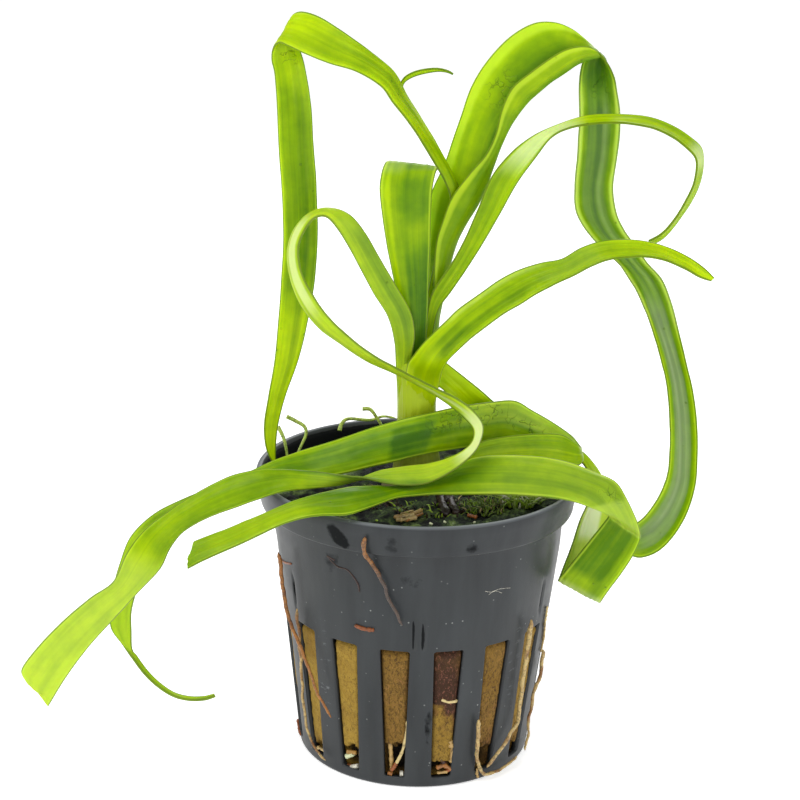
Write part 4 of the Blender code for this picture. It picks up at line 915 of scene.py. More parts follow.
def pot_sides():
    """Radius and height of the wall's rows, outside and inside. The outside
    follows the lip and the taper down to a rounded foot; the inside keeps one
    wall's thickness from it, with the moulded step under the rim. The rows
    crowd at the lip's edges and at the slots' ends."""
    heights = np.concatenate([
        np.linspace(LIP_LOW - 1.2, SLOT_HIGH + 1.4, 14),
        np.linspace(SLOT_HIGH + 0.9, SLOT_HIGH - 1.2, 15),
        np.linspace(SLOT_HIGH - 1.8, SLOT_LOW + 1.6, 26),
        np.linspace(SLOT_LOW + 1.1, SLOT_LOW - 0.4, 12), [1.1, 0.7]])
    wall = wall_radius(heights)
    above_floor = np.maximum(heights, FLOOR + 0.3 + (heights - 0.7) * 0.05)
    lip, top, foot = LIP_LOWER_RADIUS, WALL_TOP_RADIUS, BASE_RADIUS
    outer = [
        *((RIM_RADIUS - off, POT_HEIGHT - down) for off, down in (
            (0.55, 0.0), (0.25, 0.05), (0.08, 0.2), (0.0, 0.45), (0.2, 2.0))),
        *((radius, LIP_LOW + over) for radius, over in (
            (lip + 0.1, 1.2), (lip, 0.35), (lip - 0.12, 0.08), (lip - 0.4, -0.02),
            (top + 0.5, -0.08), (top + 0.12, -0.2), (top - 0.02, -0.6))),
        *zip(wall, heights),
        (foot + 0.02, 0.42), (foot - 0.12, 0.2), (foot - 0.4, 0.05), (foot - 0.8, 0.0)]
    inner = [
        *((RIM_RADIUS - off, POT_HEIGHT - down) for off, down in (
            (0.8, 0.04), (0.98, 0.2), (1.08, 0.7), (1.3, 1.0), (1.42, 1.2), (1.5, 2.4))),
        *((radius - WALL, LIP_LOW + over) for radius, over in (
            (lip - 0.1, 1.5), (lip - 0.2, 0.9), (top + 0.6, 0.5), (top + 0.15, 0.2),
            (top + 0.02, -0.2), (top, -0.6))),
        *zip(wall - WALL, above_floor),
        *((foot - WALL - off, FLOOR + over) for off, over in (
            (0.1, 0.2), (0.3, 0.05), (0.6, 0.0), (1.0, 0.0)))]
    return np.array(outer).T, np.array(inner).T


def pot_columns(levels, rounding):
    """The turn of each column of the wall at each height. A sector holds one
    slot and the pillar beside it. The slot's half width grows with height,
    and near both its ends it closes in as a quarter circle does, so its
    corners are round."""
    height = np.clip(levels, SLOT_LOW, SLOT_HIGH)
    end = np.minimum(np.minimum(height - SLOT_LOW, SLOT_HIGH - height), rounding)
    half = slot_half(height) - rounding + np.sqrt(np.maximum(rounding**2 - (rounding - end) ** 2, 0))
    angle = half / wall_radius(height)
    across = np.linspace(-1, 1, POT_OPENING + 1)[None, :] * angle[:, None]
    pillar = np.linspace(0, 1, POT_PILLAR + 1)[None, 1:-1]
    beside = angle[:, None] + (SECTOR - 2 * angle[:, None]) * pillar
    one = np.concatenate([across, beside], axis=1)
    turns = SLOT_TURN + np.arange(SLOTS) * SECTOR
    return (turns[None, :, None] + one[:, None, :]).reshape(len(levels), -1)


def around(turn, angle):
    """How far a turn is from an angle, the short way round, with its sign."""
    return (turn - angle + math.pi) % (2 * math.pi) - math.pi


def pot_stains_and_painted_light(turn, radius, level):
    """How wet and dark, or below nought how pale, the outside is: a sum of soft
    ovals, wet stains with painted shade and painted reflections among them.
    The wide ones have uneven sides, from soft noise."""
    total = np.zeros_like(turn)
    stir = 0.5 * waves(together(turn * 8.0, level / 2.0), 1.0, 31)
    for angle, height, half, tall, amount in POT_STAINS_AND_PAINTED_LIGHT:
        wide = half > 0.5
        aside = around(turn, math.radians(angle - 90.0)) * radius + stir * wide
        off = np.hypot(aside / half, (level - height) / tall)
        total += amount * np.clip((1.25 - off) / (1.0 if wide else 0.5), 0, 1)
    return total


def make_pot(finish, corner, rib):
    """The net pot: an outer and an inner grid of one layout, joined at the
    rim and round every slot, and closed with a floor. The ribs over the slots
    are bell curves on the outside, and the pot leans left over its top."""
    (outer_r, outer_z), (inner_r, inner_z) = (side[..., None] for side in pot_sides())
    turn = pot_columns(outer_z[:, 0], corner)
    rows, columns = turn.shape
    bump = np.zeros_like(turn)
    for angle, low, high, tall in POT_RIBS:
        near = np.abs(around(turn, angle)) * 24.0
        ends = np.clip((outer_z - low) / 0.8, 0, 1) * np.clip((high - outer_z) / 0.8, 0, 1)
        bump += tall * rib * np.exp(-(near / 0.26) ** 2) * ends
    points = []
    for radius, level in ((outer_r + bump, outer_z), (inner_r, inner_z)):
        lean = -0.05 - 0.4 * np.clip((level - 38.0) / 6.0, 0, 1)
        points.append(together(radius * np.cos(turn) + lean, radius * np.sin(turn), level).reshape(-1, 3))
    points = np.concatenate([*points, [(0, 0, 0.0), (0, 0, FLOOR)]])
    inward = rows * columns
    middle = (outer_z[:-1] + outer_z[1:]) / 2
    in_slot = np.arange(columns)[None, :] % (POT_PILLAR + POT_OPENING) < POT_OPENING
    kept = ~((middle > SLOT_LOW) & (middle < SLOT_HIGH) & in_slot)
    outside = grid_faces(rows, columns).reshape(rows - 1, columns, 4)[kept]
    faces = [outside, outside[:, ::-1] + inward]
    side_row, side_column = np.nonzero(kept != np.roll(kept, 1, axis=1))
    end_row, end_column = np.nonzero(kept[:-1] != kept[1:])
    column = np.arange(columns)
    for row, start, down, aside in ((side_row, side_column, 1, 0), (end_row + 1, end_column, 0, 1),
                                    (0 * column, column, 0, 1)):
        one = row * columns + start
        other = (row + down) * columns + (start + aside) % columns
        faces.append(np.stack([one, other, other + inward, one + inward], axis=-1))
    foot = inward - columns + column
    after = inward - columns + (column + 1) % columns
    under = np.full(columns, 2 * inward)
    fan = np.concatenate([np.stack([foot, after, under], axis=-1),
                          np.stack([after + inward, foot + inward, under + 1], axis=-1)])
    stain = pot_stains_and_painted_light(turn, outer_r, outer_z)
    level = np.zeros_like(turn) + inner_z
    # The inner wall, from 20 mm up to near the rim, is painted dark as shade, through the stain attribute.
    painted_shade_inside = 0.9 * np.clip((level - 20.0) / 5.0, 0, 1) * np.clip((POT_HEIGHT - 0.5 - level) / 0.5, 0, 1)
    # A painted highlight along the rim's top edges, outside and in.
    rim_highlight_outside = np.clip((outer_z - POT_HEIGHT + 0.35) / 0.3, 0, 1) + np.zeros_like(turn)
    rim_highlight_inside = np.clip((level - POT_HEIGHT + 0.25) / 0.2, 0, 1)
    pot = lay_mesh("net_pot_moulded", points, np.concatenate(faces), fan, {
        "stain": np.concatenate([stain.ravel(), painted_shade_inside.ravel(), [0.0, 0.5]]),
        "rim_highlight": np.concatenate([rim_highlight_outside.ravel(), rim_highlight_inside.ravel(), [0.0, 0.0]])})
    work = bmesh.new()
    work.from_mesh(pot.data)
    bmesh.ops.recalc_face_normals(work, faces=work.faces[:])
    work.to_mesh(pot.data)
    work.free()
    return seat(pot, "net_pot", finish)


# Raised and sunk lines above the slots: turn, in degrees from the front,
# lowest and highest height, and how far each stands out, as a share of the
# rib setting.
POT_RIBS = [
    (math.radians(-90.0 + angle), low, high, tall) for angle, low, high, tall in (
        (-1.0, 26.6, 32.2, 1.0), (2.8, 26.6, 32.2, 1.0), (62.0, 28.4, 35.0, -1.2),
        (-61.0, 28.8, 35.0, -1.2), (119.0, 26.6, 32.2, 1.0), (122.8, 26.6, 32.2, 1.0),
        (180.9, 28.4, 35.0, -1.2), (-119.0, 26.6, 32.2, 1.0), (-122.8, 26.6, 32.2, 1.0))]

# Soft marks on the pot's outside: degrees from the front, height, half width
# and half height in millimetres, and how wet and dark, or below nought how
# pale, the mark is. Most are wet stains; the thin ones beside the raised ribs
# and in the side slits are painted shade, and the two pale streaks down the
# sides are painted reflections.
POT_STAINS_AND_PAINTED_LIGHT = [
    (-29.0, 47.2, 2.2, 2.0, 0.8), (-26.0, 45.6, 1.4, 1.0, 0.8), (-8.0, 46.8, 2.4, 2.2, 0.6),
    (-33.0, 40.5, 3.4, 3.8, 0.5), (-1.0, 40.0, 8.0, 3.0, 0.2), (19.0, 45.4, 2.2, 0.8, 0.6),
    # Painted shade beside the two raised ribs at the front, then painted shade in the two side slits and
    # painted reflections down both sides.
    (-1.4, 29.5, 0.2, 2.9, 0.9), (2.4, 29.5, 0.2, 2.9, 0.9),
    (62.0, 31.7, 0.3, 2.6, 0.9), (-61.0, 32.0, 0.3, 2.6, 0.9), (-44.0, 20.0, 1.5, 9.0, -0.3),
    (47.0, 22.0, 1.4, 8.0, -0.2), (6.0, 12.0, 0.8, 6.0, 0.4)]


def strip_tubes(name, lines, finish, sides):
    """One mesh of many closed tubes: lines are pairs of centre points and
    radii, and reach says how far along its tube each point is."""
    points, quads, fans, reach = [], [], [], []
    start = 0
    for centre, radius in lines:
        flat, faces, fan = closed_skin(tube(centre, radius, sides))
        points.append(flat)
        quads.append(faces + start)
        fans.append(fan + start)
        reach.append(np.concatenate([np.repeat(np.linspace(0, 1, len(centre)), sides), [0.0, 1.0]]))
        start += len(flat)
    made = lay_mesh(name, np.concatenate(points), np.concatenate(quads), np.concatenate(fans),
                    {"reach": np.concatenate(reach)})
    made.data.materials.append(finish)
    return made


def make_root(name, finish):
    """A root on the wall: its solid's route, thinner at both ends, with a slow
    wander and small swellings along it."""
    thick, further, route = ROOTS[name]
    line = smooth([on_wall(right, up, thick + ROOT_GAP + further) for right, up in route],
                  len(route) * 12)
    seed = 300 + 5 * list(ROOTS).index(name)
    place = np.linspace(0, 1, len(line))
    length = np.concatenate([[0], np.cumsum(np.linalg.norm(np.diff(line, axis=0), axis=-1))])
    line = line + 0.16 * np.stack([
        waves(together(length, float(axis)), 5.0, seed + axis) for axis in range(3)], axis=-1)
    fullness = 0.95 if name == "root_front" else 0.72
    radius = fullness * thick * (1.0 - 0.4 * place) * (1 + 0.14 * waves(
        together(length, 0.0), 1.6, seed + 4)) * blunt(place, 14, 0.35)
    return seat(strip_tubes(name + "_grown", [(line, radius)], finish, 12), name)


def make_shoot(name, finish):
    """A pale shoot: its solid's route, drawn out to a fine point."""
    line = smooth(sighted(ROOTLETS[name]), len(ROOTLETS[name]) * 10)
    place = np.linspace(0, 1, len(line))
    radius = ROOTLET_RADIUS * (1.0 - 0.5 * place) * np.clip((1 - place) * 10 + 0.25, 0, 1)
    return seat(strip_tubes(name + "_grown", [(line, radius)], finish, 12), name)


# Small litter: its colour tone (0 black brown, 0.3 orange brown, 0.6 cream,
# 0.8 green, 1 white), its radius, how far it lies off the pot's wall, and its
# way as right and up.
LITTER = [
    (0.6, 0.34, -0.35, [(-2.2, -42.9), (-2.4, -45.2), (-3.1, -48.1), (-4.2, -50.3)]),
    (0.28, 0.34, -0.3, [(-4.1, -50.1), (-4.6, -50.9), (-5.0, -51.4)]),
    (0.5, 0.42, -0.9, [(-5.2, -46.6), (-5.0, -49.0), (-4.9, -51.4)]),
    (0.95, 0.55, -0.6, [(-3.5, -51.9), (-2.9, -51.9)]),
    (0.35, 0.4, -0.6, [(-5.6, -51.8), (-4.8, -52.0)]),
    (0.9, 0.5, -0.6, [(-12.6, -49.0), (-11.4, -48.5)]),
    (0.45, 0.42, -0.5, [(-12.5, -48.2), (-10.9, -48.4)]),
    (0.98, 0.5, -0.7, [(-11.8, -50.9), (-10.6, -50.6)]),
    (0.3, 0.6, -1.0, [(-12.4, -50.6), (-11.2, -51.0)]),
    (0.55, 0.3, -0.3, [(-17.6, -47.4), (-16.4, -48.0), (-15.9, -48.5)]),
    (0.62, 0.3, -0.5, [(3.5, -39.3), (4.8, -39.7), (6.3, -39.5)]),
    (0.5, 0.55, -0.7, [(5.0, -46.2), (5.4, -48.0), (5.2, -50.0)]),
    (0.35, 0.4, -0.4, [(2.6, -51.0), (4.0, -50.6), (5.2, -51.2)]),
    (0.5, 0.3, -0.3, [(2.8, -51.8), (4.6, -51.6)]), (0.28, 0.35, -0.4, [(4.2, -51.6), (5.8, -50.8)]),
    (0.15, 0.5, -0.9, [(3.2, -49.2), (4.2, -50.4)]),
    (0.5, 0.25, 0.12, [(9.7, -51.0), (9.6, -51.9), (9.8, -52.6)]),
    (0.25, 0.36, 0.15, [(-11.2, -26.7), (-9.6, -27.3), (-7.9, -27.5)]),
    (0.28, 0.32, 0.15, [(-21.3, -42.7), (-20.9, -44.0), (-20.4, -45.4)]),
    (0.28, 0.22, 0.1, [(-24.2, -14.3), (-23.4, -15.8), (-22.0, -16.2)]),
    (0.08, 0.16, 0.1, [(-16.2, -14.6), (-14.2, -16.6), (-12.4, -17.3), (-10.8, -19.4), (-10.4, -21.0)]),
    (0.12, 0.2, 0.1, [(-15.9, -14.8), (-14.6, -15.6)]),
    (0.55, 0.24, 0.2, [(21.2, -26.4), (21.0, -28.6), (20.5, -31.2)]),
    (0.6, 0.22, 0.2, [(21.6, -23.4), (21.4, -25.0), (21.1, -26.8)]),
    (0.92, 0.025, -0.01, [(11.0, -20.9), (12.2, -21.0), (13.4, -20.5), (15.4, -20.3)]),
    (0.92, 0.022, -0.01, [(11.6, -21.5), (12.6, -20.8), (13.9, -21.2)]),
    (0.92, 0.022, -0.01, [(-3.4, -12.4), (-2.0, -12.7), (-0.4, -12.6)]),
]


def on_soil(right, up, lift):
    """The point of a line of sight that lies lift above the wool's top."""
    points = sighted(together(right, up, np.linspace(-30.0, 40.0, 1401)))
    return points[np.argmin(np.abs(points[:, 2] - WOOL_TOP - lift))]


def scatter(name, lines, tones, finish, sides):
    """A loose piece of many tubes, each with its own tone."""
    made = strip_tubes(name, lines, finish, sides)
    counts = [len(line) * sides + 2 for line, _ in lines]
    layer = made.data.attributes.new("tone", "FLOAT", "POINT")
    layer.data.foreach_set("value", np.repeat(np.array(tones, np.float32), counts))
    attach(made, BODY)
    return made


def make_litter(finish):
    """Bits of straw, bark, root and white grit in the slots and on the wall,
    each a short uneven tube with blunt ends."""
    lines, tones = [], []
    for number, (tone, thick, lift, route) in enumerate(LITTER):
        line = smooth([on_wall(right, up, lift) for right, up in route], len(route) * 8)
        place = np.linspace(0, 1, len(line))
        uneven = 0.9 + 0.25 * waves(together(place * 9.0, float(number)), 1.6, 900 + number)
        lines.append((line, thick * uneven * blunt(place, 9, 0.45)))
        tones.append(tone)
    return scatter("slot_litter", lines, tones, finish, 8)


# Patches of growth on the wool: right, up, half width, half depth, how many
# blades, their length and their tone.
MOSS = [
    (17.2, -5.7, 3.6, 1.1, 170, 2.4, 0.86), (11.0, -6.8, 3.6, 1.4, 110, 1.6, 0.74),
    (2.0, -6.6, 8.0, 2.0, 70, 1.3, 0.05), (-8.0, -5.6, 5.0, 1.4, 60, 1.4, 0.1),
    (20.2, -4.4, 1.6, 0.8, 60, 2.2, 0.88), (-20.0, 0.6, 3.0, 2.0, 40, 1.6, 0.7),
    (-12.0, 6.5, 6.0, 1.6, 60, 1.4, 0.15), (-2.0, -3.4, 8.0, 1.5, 50, 1.5, 0.7),
    (4.0, -7.0, 9.0, 1.6, 60, 1.2, 0.80)]

# Crumbs and shreds on the wool: tone, radius, and way as right and up.
SOIL_BITS = [
    (0.50, 0.42, [(-4.6, -8.3), (-3.0, -8.1), (-1.4, -7.7), (0.3, -7.0)]),
    (0.55, 0.40, [(-4.2, -8.7), (-2.6, -8.7), (-0.6, -8.3)]), (0.56, 0.22, [(-3.4, -7.7), (-1.2, -7.1)]),
    (0.36, 0.28, [(-2.4, -8.9), (-1.0, -8.2), (0.4, -7.6)]), (0.60, 0.34, [(-3.6, -8.2), (-1.0, -7.9)]),
    (0.02, 0.9, [(3.3, -4.9), (3.8, -6.4), (4.4, -7.9)]),
    (0.04, 0.8, [(5.0, -4.8), (5.4, -6.4), (6.2, -7.7)]),
    (0.0, 0.7, [(4.2, -4.4), (4.6, -5.6)]),
    (0.9, 0.22, [(1.6, -9.3), (2.0, -9.5)]), (0.9, 0.2, [(4.0, -9.0), (4.3, -9.2)]),
    (0.85, 0.2, [(-7.6, -8.8), (-7.3, -8.9)]), (0.9, 0.18, [(9.0, -9.2), (9.3, -9.1)]),
    (0.3, 0.35, [(8.0, -7.9), (9.6, -8.3)]), (0.5, 0.3, [(-12.0, -6.2), (-10.4, -6.9)])]


def make_moss(finish):
    """Moss and litter on the wool: short blades that bend over, from a seeded
    generator, and a few crumbs and shreds of dead leaf where they are seen. A
    blade at s along it has risen by s - 0.45 s^3 and leans by s^1.6."""
    dice = np.random.default_rng(77)
    lines, tones = [], []
    rise = np.linspace(0, 1, 7)[:, None]
    for right, up, half, deep, number, tall, tone in MOSS:
        thick = 0.28 if tone > 0.85 else 0.17
        for _ in range(number):
            spread = math.sqrt(dice.random())
            angle = dice.random() * 2 * math.pi
            foot = on_soil(right + half * spread * math.cos(angle),
                           up + deep * spread * math.sin(angle), 0.2)
            if math.hypot(foot[0], foot[1]) > MOSS_REACH:
                continue
            lean = dice.normal(size=2) * 0.6
            reach = tall * (0.5 + 0.7 * dice.random())
            line = foot + np.concatenate([
                reach * lean * rise ** 1.6, reach * (rise - 0.45 * rise ** 3)], axis=1)
            lines.append((line, thick * (1.05 - rise[:, 0]) * (0.7 + 0.6 * dice.random())))
            tones.append(float(np.clip(tone + 0.05 * dice.normal(), 0, 1)))
    for number, (tone, thick, route) in enumerate(SOIL_BITS):
        line = smooth([on_soil(right, up, 0.55) for right, up in route], len(route) * 7)
        place = np.linspace(0, 1, len(line))
        uneven = 0.9 + 0.3 * waves(together(place * 7, float(number)), 1.3, 40)
        lines.append((line, thick * uneven * blunt(place, 8, 0.4)))
        tones.append(tone)
    return scatter("moss_and_crumbs", lines, tones, finish, 6)


# The neck's outline as the camera sees it: height, left, right, and how far
# its front and back stand from its middle. The last four rows turn in over
# the top edge and down, so that the leaves rise out of a hollow.
NECK_ROWS = [
    (-2.7, -6.6, 5.0, 5.8), (-1.3, -5.3, 4.0, 4.6), (1.8, -4.5, 3.1, 3.8), (5.4, -4.15, 2.6, 3.3),
    (9.0, -4.0, 2.45, 3.2), (11.5, -4.0, 2.45, 3.2), (13.3, -4.05, 2.75, 3.25),
    (14.9, -4.1, 3.1, 3.3), (16.2, -4.15, 3.4, 3.5), (17.2, -4.2, 3.6, 3.5), (17.8, -4.15, 3.7, 3.3),
    (17.9, -3.9, 3.5, 3.0), (17.5, -3.4, 2.9, 2.3), (16.5, -2.4, 1.9, 1.4)]


def make_neck(finish):
    """The bulb and its neck. Below, the bulb is a ball. Above, each ring is an
    ellipse between the left and right outline, tipped by the camera's own
    tilt, with shallow folds round it where one sheath lies over the next and
    fine ribs: tanh and cosine of the turn, stirred by the height."""
    ball = np.linspace(0, math.pi * 0.74, 40)[:30]
    wide = BULB_RADIUS * np.sin(ball) + 0.01
    bulb = np.stack([(BULB_HEIGHT - BULB_RADIUS * np.cos(ball) - POT_HEIGHT) / UPRIGHT_SCALE,
                     NECK_OFFSET - wide, NECK_OFFSET + wide, wide], axis=-1)
    table = np.concatenate([bulb, smooth(np.array(NECK_ROWS), 150)])
    level, left, right, near = (table[:, key:key + 1] for key in range(4))
    turn = round_turn(120)
    wander = 0.25 * np.sin(level * 0.21) + 0.12 * np.sin(level * 0.57 + 1.0)
    fold = 0.11 * np.tanh(5 * np.sin(turn + wander + 2.2)) + 0.07 * np.tanh(
        6 * np.sin(turn * 2.0 - wander + 0.6))
    ribs = 0.03 * np.cos(turn * 34 + 3 * wander) + 0.04 * np.cos(turn * 13 + 5 * wander)
    rising = np.clip((level + 3.5) / 5, 0, 1)
    swell = (fold + ribs) * rising
    aside = (left + right) / 2 + ((right - left) / 2 + swell) * np.cos(turn)
    front = (near + swell) * np.sin(turn)
    upright = together(aside, -front, POT_HEIGHT + UPRIGHT_SCALE * level)
    tipped = sighted(together(aside, level, front))
    points = upright + (tipped - upright) * rising[..., None]
    return seat(lay_mesh("bulb_and_neck", *closed_skin(points)), "bulb", finish)


# For each slot, counted round from the right, the height up to which it is a
# hollow painted dark as shade, and how stained its wool is: 0 is straw yellow,
# 1 near black.
SLOT_FILL = [
    (4.0, 0.3), (5.0, 0.6), (4.0, 0.4), (5.5, 0.2), (4.0, 0.5), (6.0, 0.3), (4.5, 0.7), (4.0, 0.3),
    (3.0, 0.1), (3.8, 0.05), (5.8, 0.12), (8.0, 0.62), (4.8, 1.0), (6.6, 0.58), (4.5, 0.3), (4.0, 0.3)]


def make_wool(finish, bulge):
    """The wool plug: a turned profile from the floor up the wall, over the
    top and in to the bulb, stirred by soft noise. It is pressed out a little
    into each slot, and hollow at a slot's foot, painted dark there as shade."""
    low = BASE_RADIUS - WALL - 0.15
    high = WALL_TOP_RADIUS - WALL - 0.15
    side_z = np.linspace(FLOOR + 0.3, LIP_LOW - 0.5, 90)
    side_r = low + (high - low) * (side_z / LIP_LOW)
    top_r = np.linspace(high + 0.7, NECK_RADIUS - 0.6, 60)
    top_z = WOOL_TOP - 0.4 * np.exp(-((top_r - 24.0) / 1.5) ** 2) + 0.9 * np.exp(-((top_r - 5) / 4.0) ** 2)
    radius = np.concatenate([
        [0.5, low * 0.5, low - 0.4], side_r, [high + 0.5, high + 0.9], top_r])[:, None]
    height = np.concatenate([
        [FLOOR + 0.2] * 3, side_z, [LIP_LOW + 0.6, WOOL_TOP - 0.8], top_z])[:, None]
    turn = round_turn(384)
    place = together(radius * np.cos(turn), radius * np.sin(turn), height)
    coarse = waves(place, 7.0, 41)
    fine = waves(place, 1.7, 42)
    past_slot = turn - SLOT_TURN + SECTOR / 2
    off_slot = np.abs(past_slot % SECTOR - SECTOR / 2) * radius
    ends = np.clip(np.minimum(height - SLOT_LOW, SLOT_HIGH - height) / 1.2, 0, 1)
    swell = np.clip((slot_half(height) - 0.06 - off_slot) / 0.45, 0, 1) ** 0.6 * ends
    fill = np.array(SLOT_FILL)[np.floor(past_slot / SECTOR).astype(int) % SLOTS]
    hollow = np.clip((fill[..., 0] + 1.2 * fine - height) / 0.7, 0, 1) * np.clip(swell * 2, 0, 1)
    on_side = np.clip((LIP_LOW - height) / 2, 0, 1)
    out = on_side * (swell * (0.98 * bulge + 0.06 * coarse + 0.10 * fine) - 2.6 * hollow - 0.1)
    up = (1 - on_side) * (0.55 * coarse + 0.38 * fine) * np.clip((25.0 - radius) / 2, 0.15, 1)
    wide = radius + out
    points = together(wide * np.cos(turn), wide * np.sin(turn), height + up)
    soaked = np.clip((height - 12.0 + 2.5 * fine + 2.0 * coarse) / 3.5, 0, 1)
    stain = np.where(fill[..., 1] > 0.9, 0.35 + 0.65 * soaked, fill[..., 1])
    wool = lay_mesh("rock_wool_plug", *closed_skin(points), {
        "hollow": with_ends(hollow), "stain": with_ends(stain)})
    return seat(wool, "rock_wool", finish)


def litter_finish():
    """Plant litter, wet: black brown, orange brown, cream, green or white by
    each bit's own tone, with mottling 0.7 mm wide and a rough skin."""
    made, tree, shader = blank("wet_plant_litter")
    spot = add(tree, "TexCoord", out="Object")
    tone = add(tree, "Attribute", out="Fac", attribute_name="tone")
    mottle = add(tree, "TexNoise", {"Vector": spot, "Scale": 1 / (0.7143 * MM), "Detail": 3.0})
    colour = add(tree, "ValToRGB", (tone,), stops=[(place, linear(hex_colour)) for place, hex_colour in (
        (0.0, "#160a08"), (0.15, "#3a1c10"), (0.28, "#8c4a1c"), (0.45, "#a07838"), (0.62, "#c8b47c"),
        (0.70, "#46561c"), (0.78, "#7c9c20"), (0.86, "#a6c634"), (0.92, "#d8d4c4"))])
    dull = add(tree, "MapRange", (mottle, 0.5, 0.7, 0.0, 0.6))
    colour = add(tree, "Mix", {0: dull, 6: colour, 7: linear("#3a2814")}, 2, data_type="RGBA")
    feed(tree, shader, {
        "Base Color": colour, "Roughness": 0.42,
        "Normal": add(tree, "Bump", {"Height": mottle, "Strength": 0.5, "Distance": 0.3 * MM})})
    return made


def leaf_finish(name, greens, seed):
    """Living strap leaf: a waxy skin over soft green flesh. Lengthwise veins
    about 0.5 mm apart, a pale band inside a thin dark margin, painted shade
    where the piece's dark attribute says so, as in its channels, a painted
    whitish sheen where its pale attribute says so, sparse dots of water and
    silt 0.3 to 0.6 mm wide, and tide lines and drops where it is wet."""
    made, tree, shader = blank(name)
    spot = add(tree, "TexCoord", out="Object")
    uv = add(tree, "UVMap", uv_map="UVMap")
    across = add(tree, "SeparateXYZ", (uv,))
    dark, pale, wet, from_edge = (add(tree, "Attribute", out="Fac", attribute_name=key)
                                  for key in ("dark", "pale", "wet", "rim"))

    # Lengthwise: 15 veins, each 33.33 mm long, and 3.5 broad bands, each
    # 45.45 mm long. A leaf keeps their number as it narrows, as a real one does.
    veins = add(tree, "TexNoise", {"Scale": 1.0, "Detail": 3.0, "Roughness": 0.6, "Vector": add(
        tree, "Mapping", {"Vector": uv, "Location": (0.0, 0.0, seed),
                          "Scale": (15.0, UV_LENGTH / 33.33, 1.0)})})
    broad = add(tree, "TexNoise", {"Scale": 1.0, "Detail": 2.0, "Vector": add(
        tree, "Mapping", {"Vector": uv, "Location": (0.0, 0.0, seed + 3.0),
                          "Scale": (3.5, UV_LENGTH / 45.45, 1.0)})})
    mottle = add(tree, "TexNoise", {
        "Vector": spot, "Scale": 1 / (3.03 * MM), "Detail": 4.0, "Roughness": 0.6})
    depth = add(tree, "MapRange", (dark, 0.0, 0.3, 0.14, 0.38))
    shade = dark
    for pattern, strength in ((veins, depth), (broad, 0.8), (mottle, 0.45)):
        off = add(tree, "Math", (pattern, 0.5), operation="SUBTRACT")
        shade = add(tree, "Math", (off, strength, shade), operation="MULTIPLY_ADD")
    # The ramp runs from the colour in full light to the deepest painted shade.
    colour = add(tree, "ValToRGB", (shade,), stops=[
        (place, tuple(green)) for place, green in zip((0.0, 0.22, 0.5, 0.85), greens)])

    # The band and the margin, by the share of the way across and by mm.
    aside = add(tree, "Math", (across, 0.5), operation="SUBTRACT")
    aside = add(tree, "Math", (aside,), operation="ABSOLUTE")
    band = add(tree, "MapRange", (aside, 0.425, 0.450, 0.0, 0.40))
    margin = add(tree, "MapRange", (from_edge, 0.30, 0.17, 0.0, 0.75))

    # Dots in cells of 2.4 mm, where a pattern of 10 mm patches lets them be.
    cell = add(tree, "TexVoronoi", {"Vector": spot, "Scale": 1 / (2.381 * MM)})
    patches = add(tree, "TexNoise", {"Vector": spot, "Scale": 1 / (10.526 * MM), "Detail": 1.0})
    dots = add(tree, "Math", (add(tree, "MapRange", (cell, 0.12, 0.07, 0.0, 1.0)),
                              add(tree, "MapRange", (patches, 0.56, 0.62, 0.0, 1.0))),
               operation="MULTIPLY")

    # Where it is wet: lines along one level of a 1.9 mm pattern, and drops.
    pools = add(tree, "TexNoise", {
        "Vector": spot, "Scale": 1 / (1.923 * MM), "Detail": 2.5, "Roughness": 0.55})
    level = add(tree, "Math", (add(tree, "Math", (pools, 0.53), operation="SUBTRACT"),),
                operation="ABSOLUTE")
    tide = add(tree, "Math", (add(tree, "MapRange", (level, 0.006, 0.020, 0.7, 0.0)), wet),
               operation="MULTIPLY")
    drops = add(tree, "MapRange", (pools, 0.53, 0.58, 0.0, 0.16))

    dot_share = add(tree, "Math", (dots, 0.55), operation="MULTIPLY")
    # The pale attribute mixes in a painted whitish sheen.
    for share, over in ((band, "#c6dc3c"), (margin, "#3d5206"), (pale, "#dce4b8"),
                        (tide, "#35520a"), (dot_share, "#4c6a10")):
        colour = add(tree, "Mix", {0: share, 6: colour, 7: linear(over)}, 2, data_type="RGBA")
    relief = add(tree, "Math", (veins, 0.05), operation="MULTIPLY")
    for pattern, height in ((dots, 0.10), (wet, drops)):
        relief = add(tree, "Math", (pattern, height, relief), operation="MULTIPLY_ADD")
    feed(tree, shader, {
        "Base Color": colour, "Roughness": add(tree, "MapRange", (veins, 0.3, 0.7, 0.26, 0.42)),
        "Normal": add(tree, "Bump", {"Height": relief, "Strength": 0.7, "Distance": 1.0 * MM}),
        "IOR": 1.42, "Specular IOR Level": 0.16, "Subsurface Weight": 0.35,
        "Subsurface Radius": (0.5, 1.0, 0.12), "Subsurface Scale": 1.2 * MM})
    return made


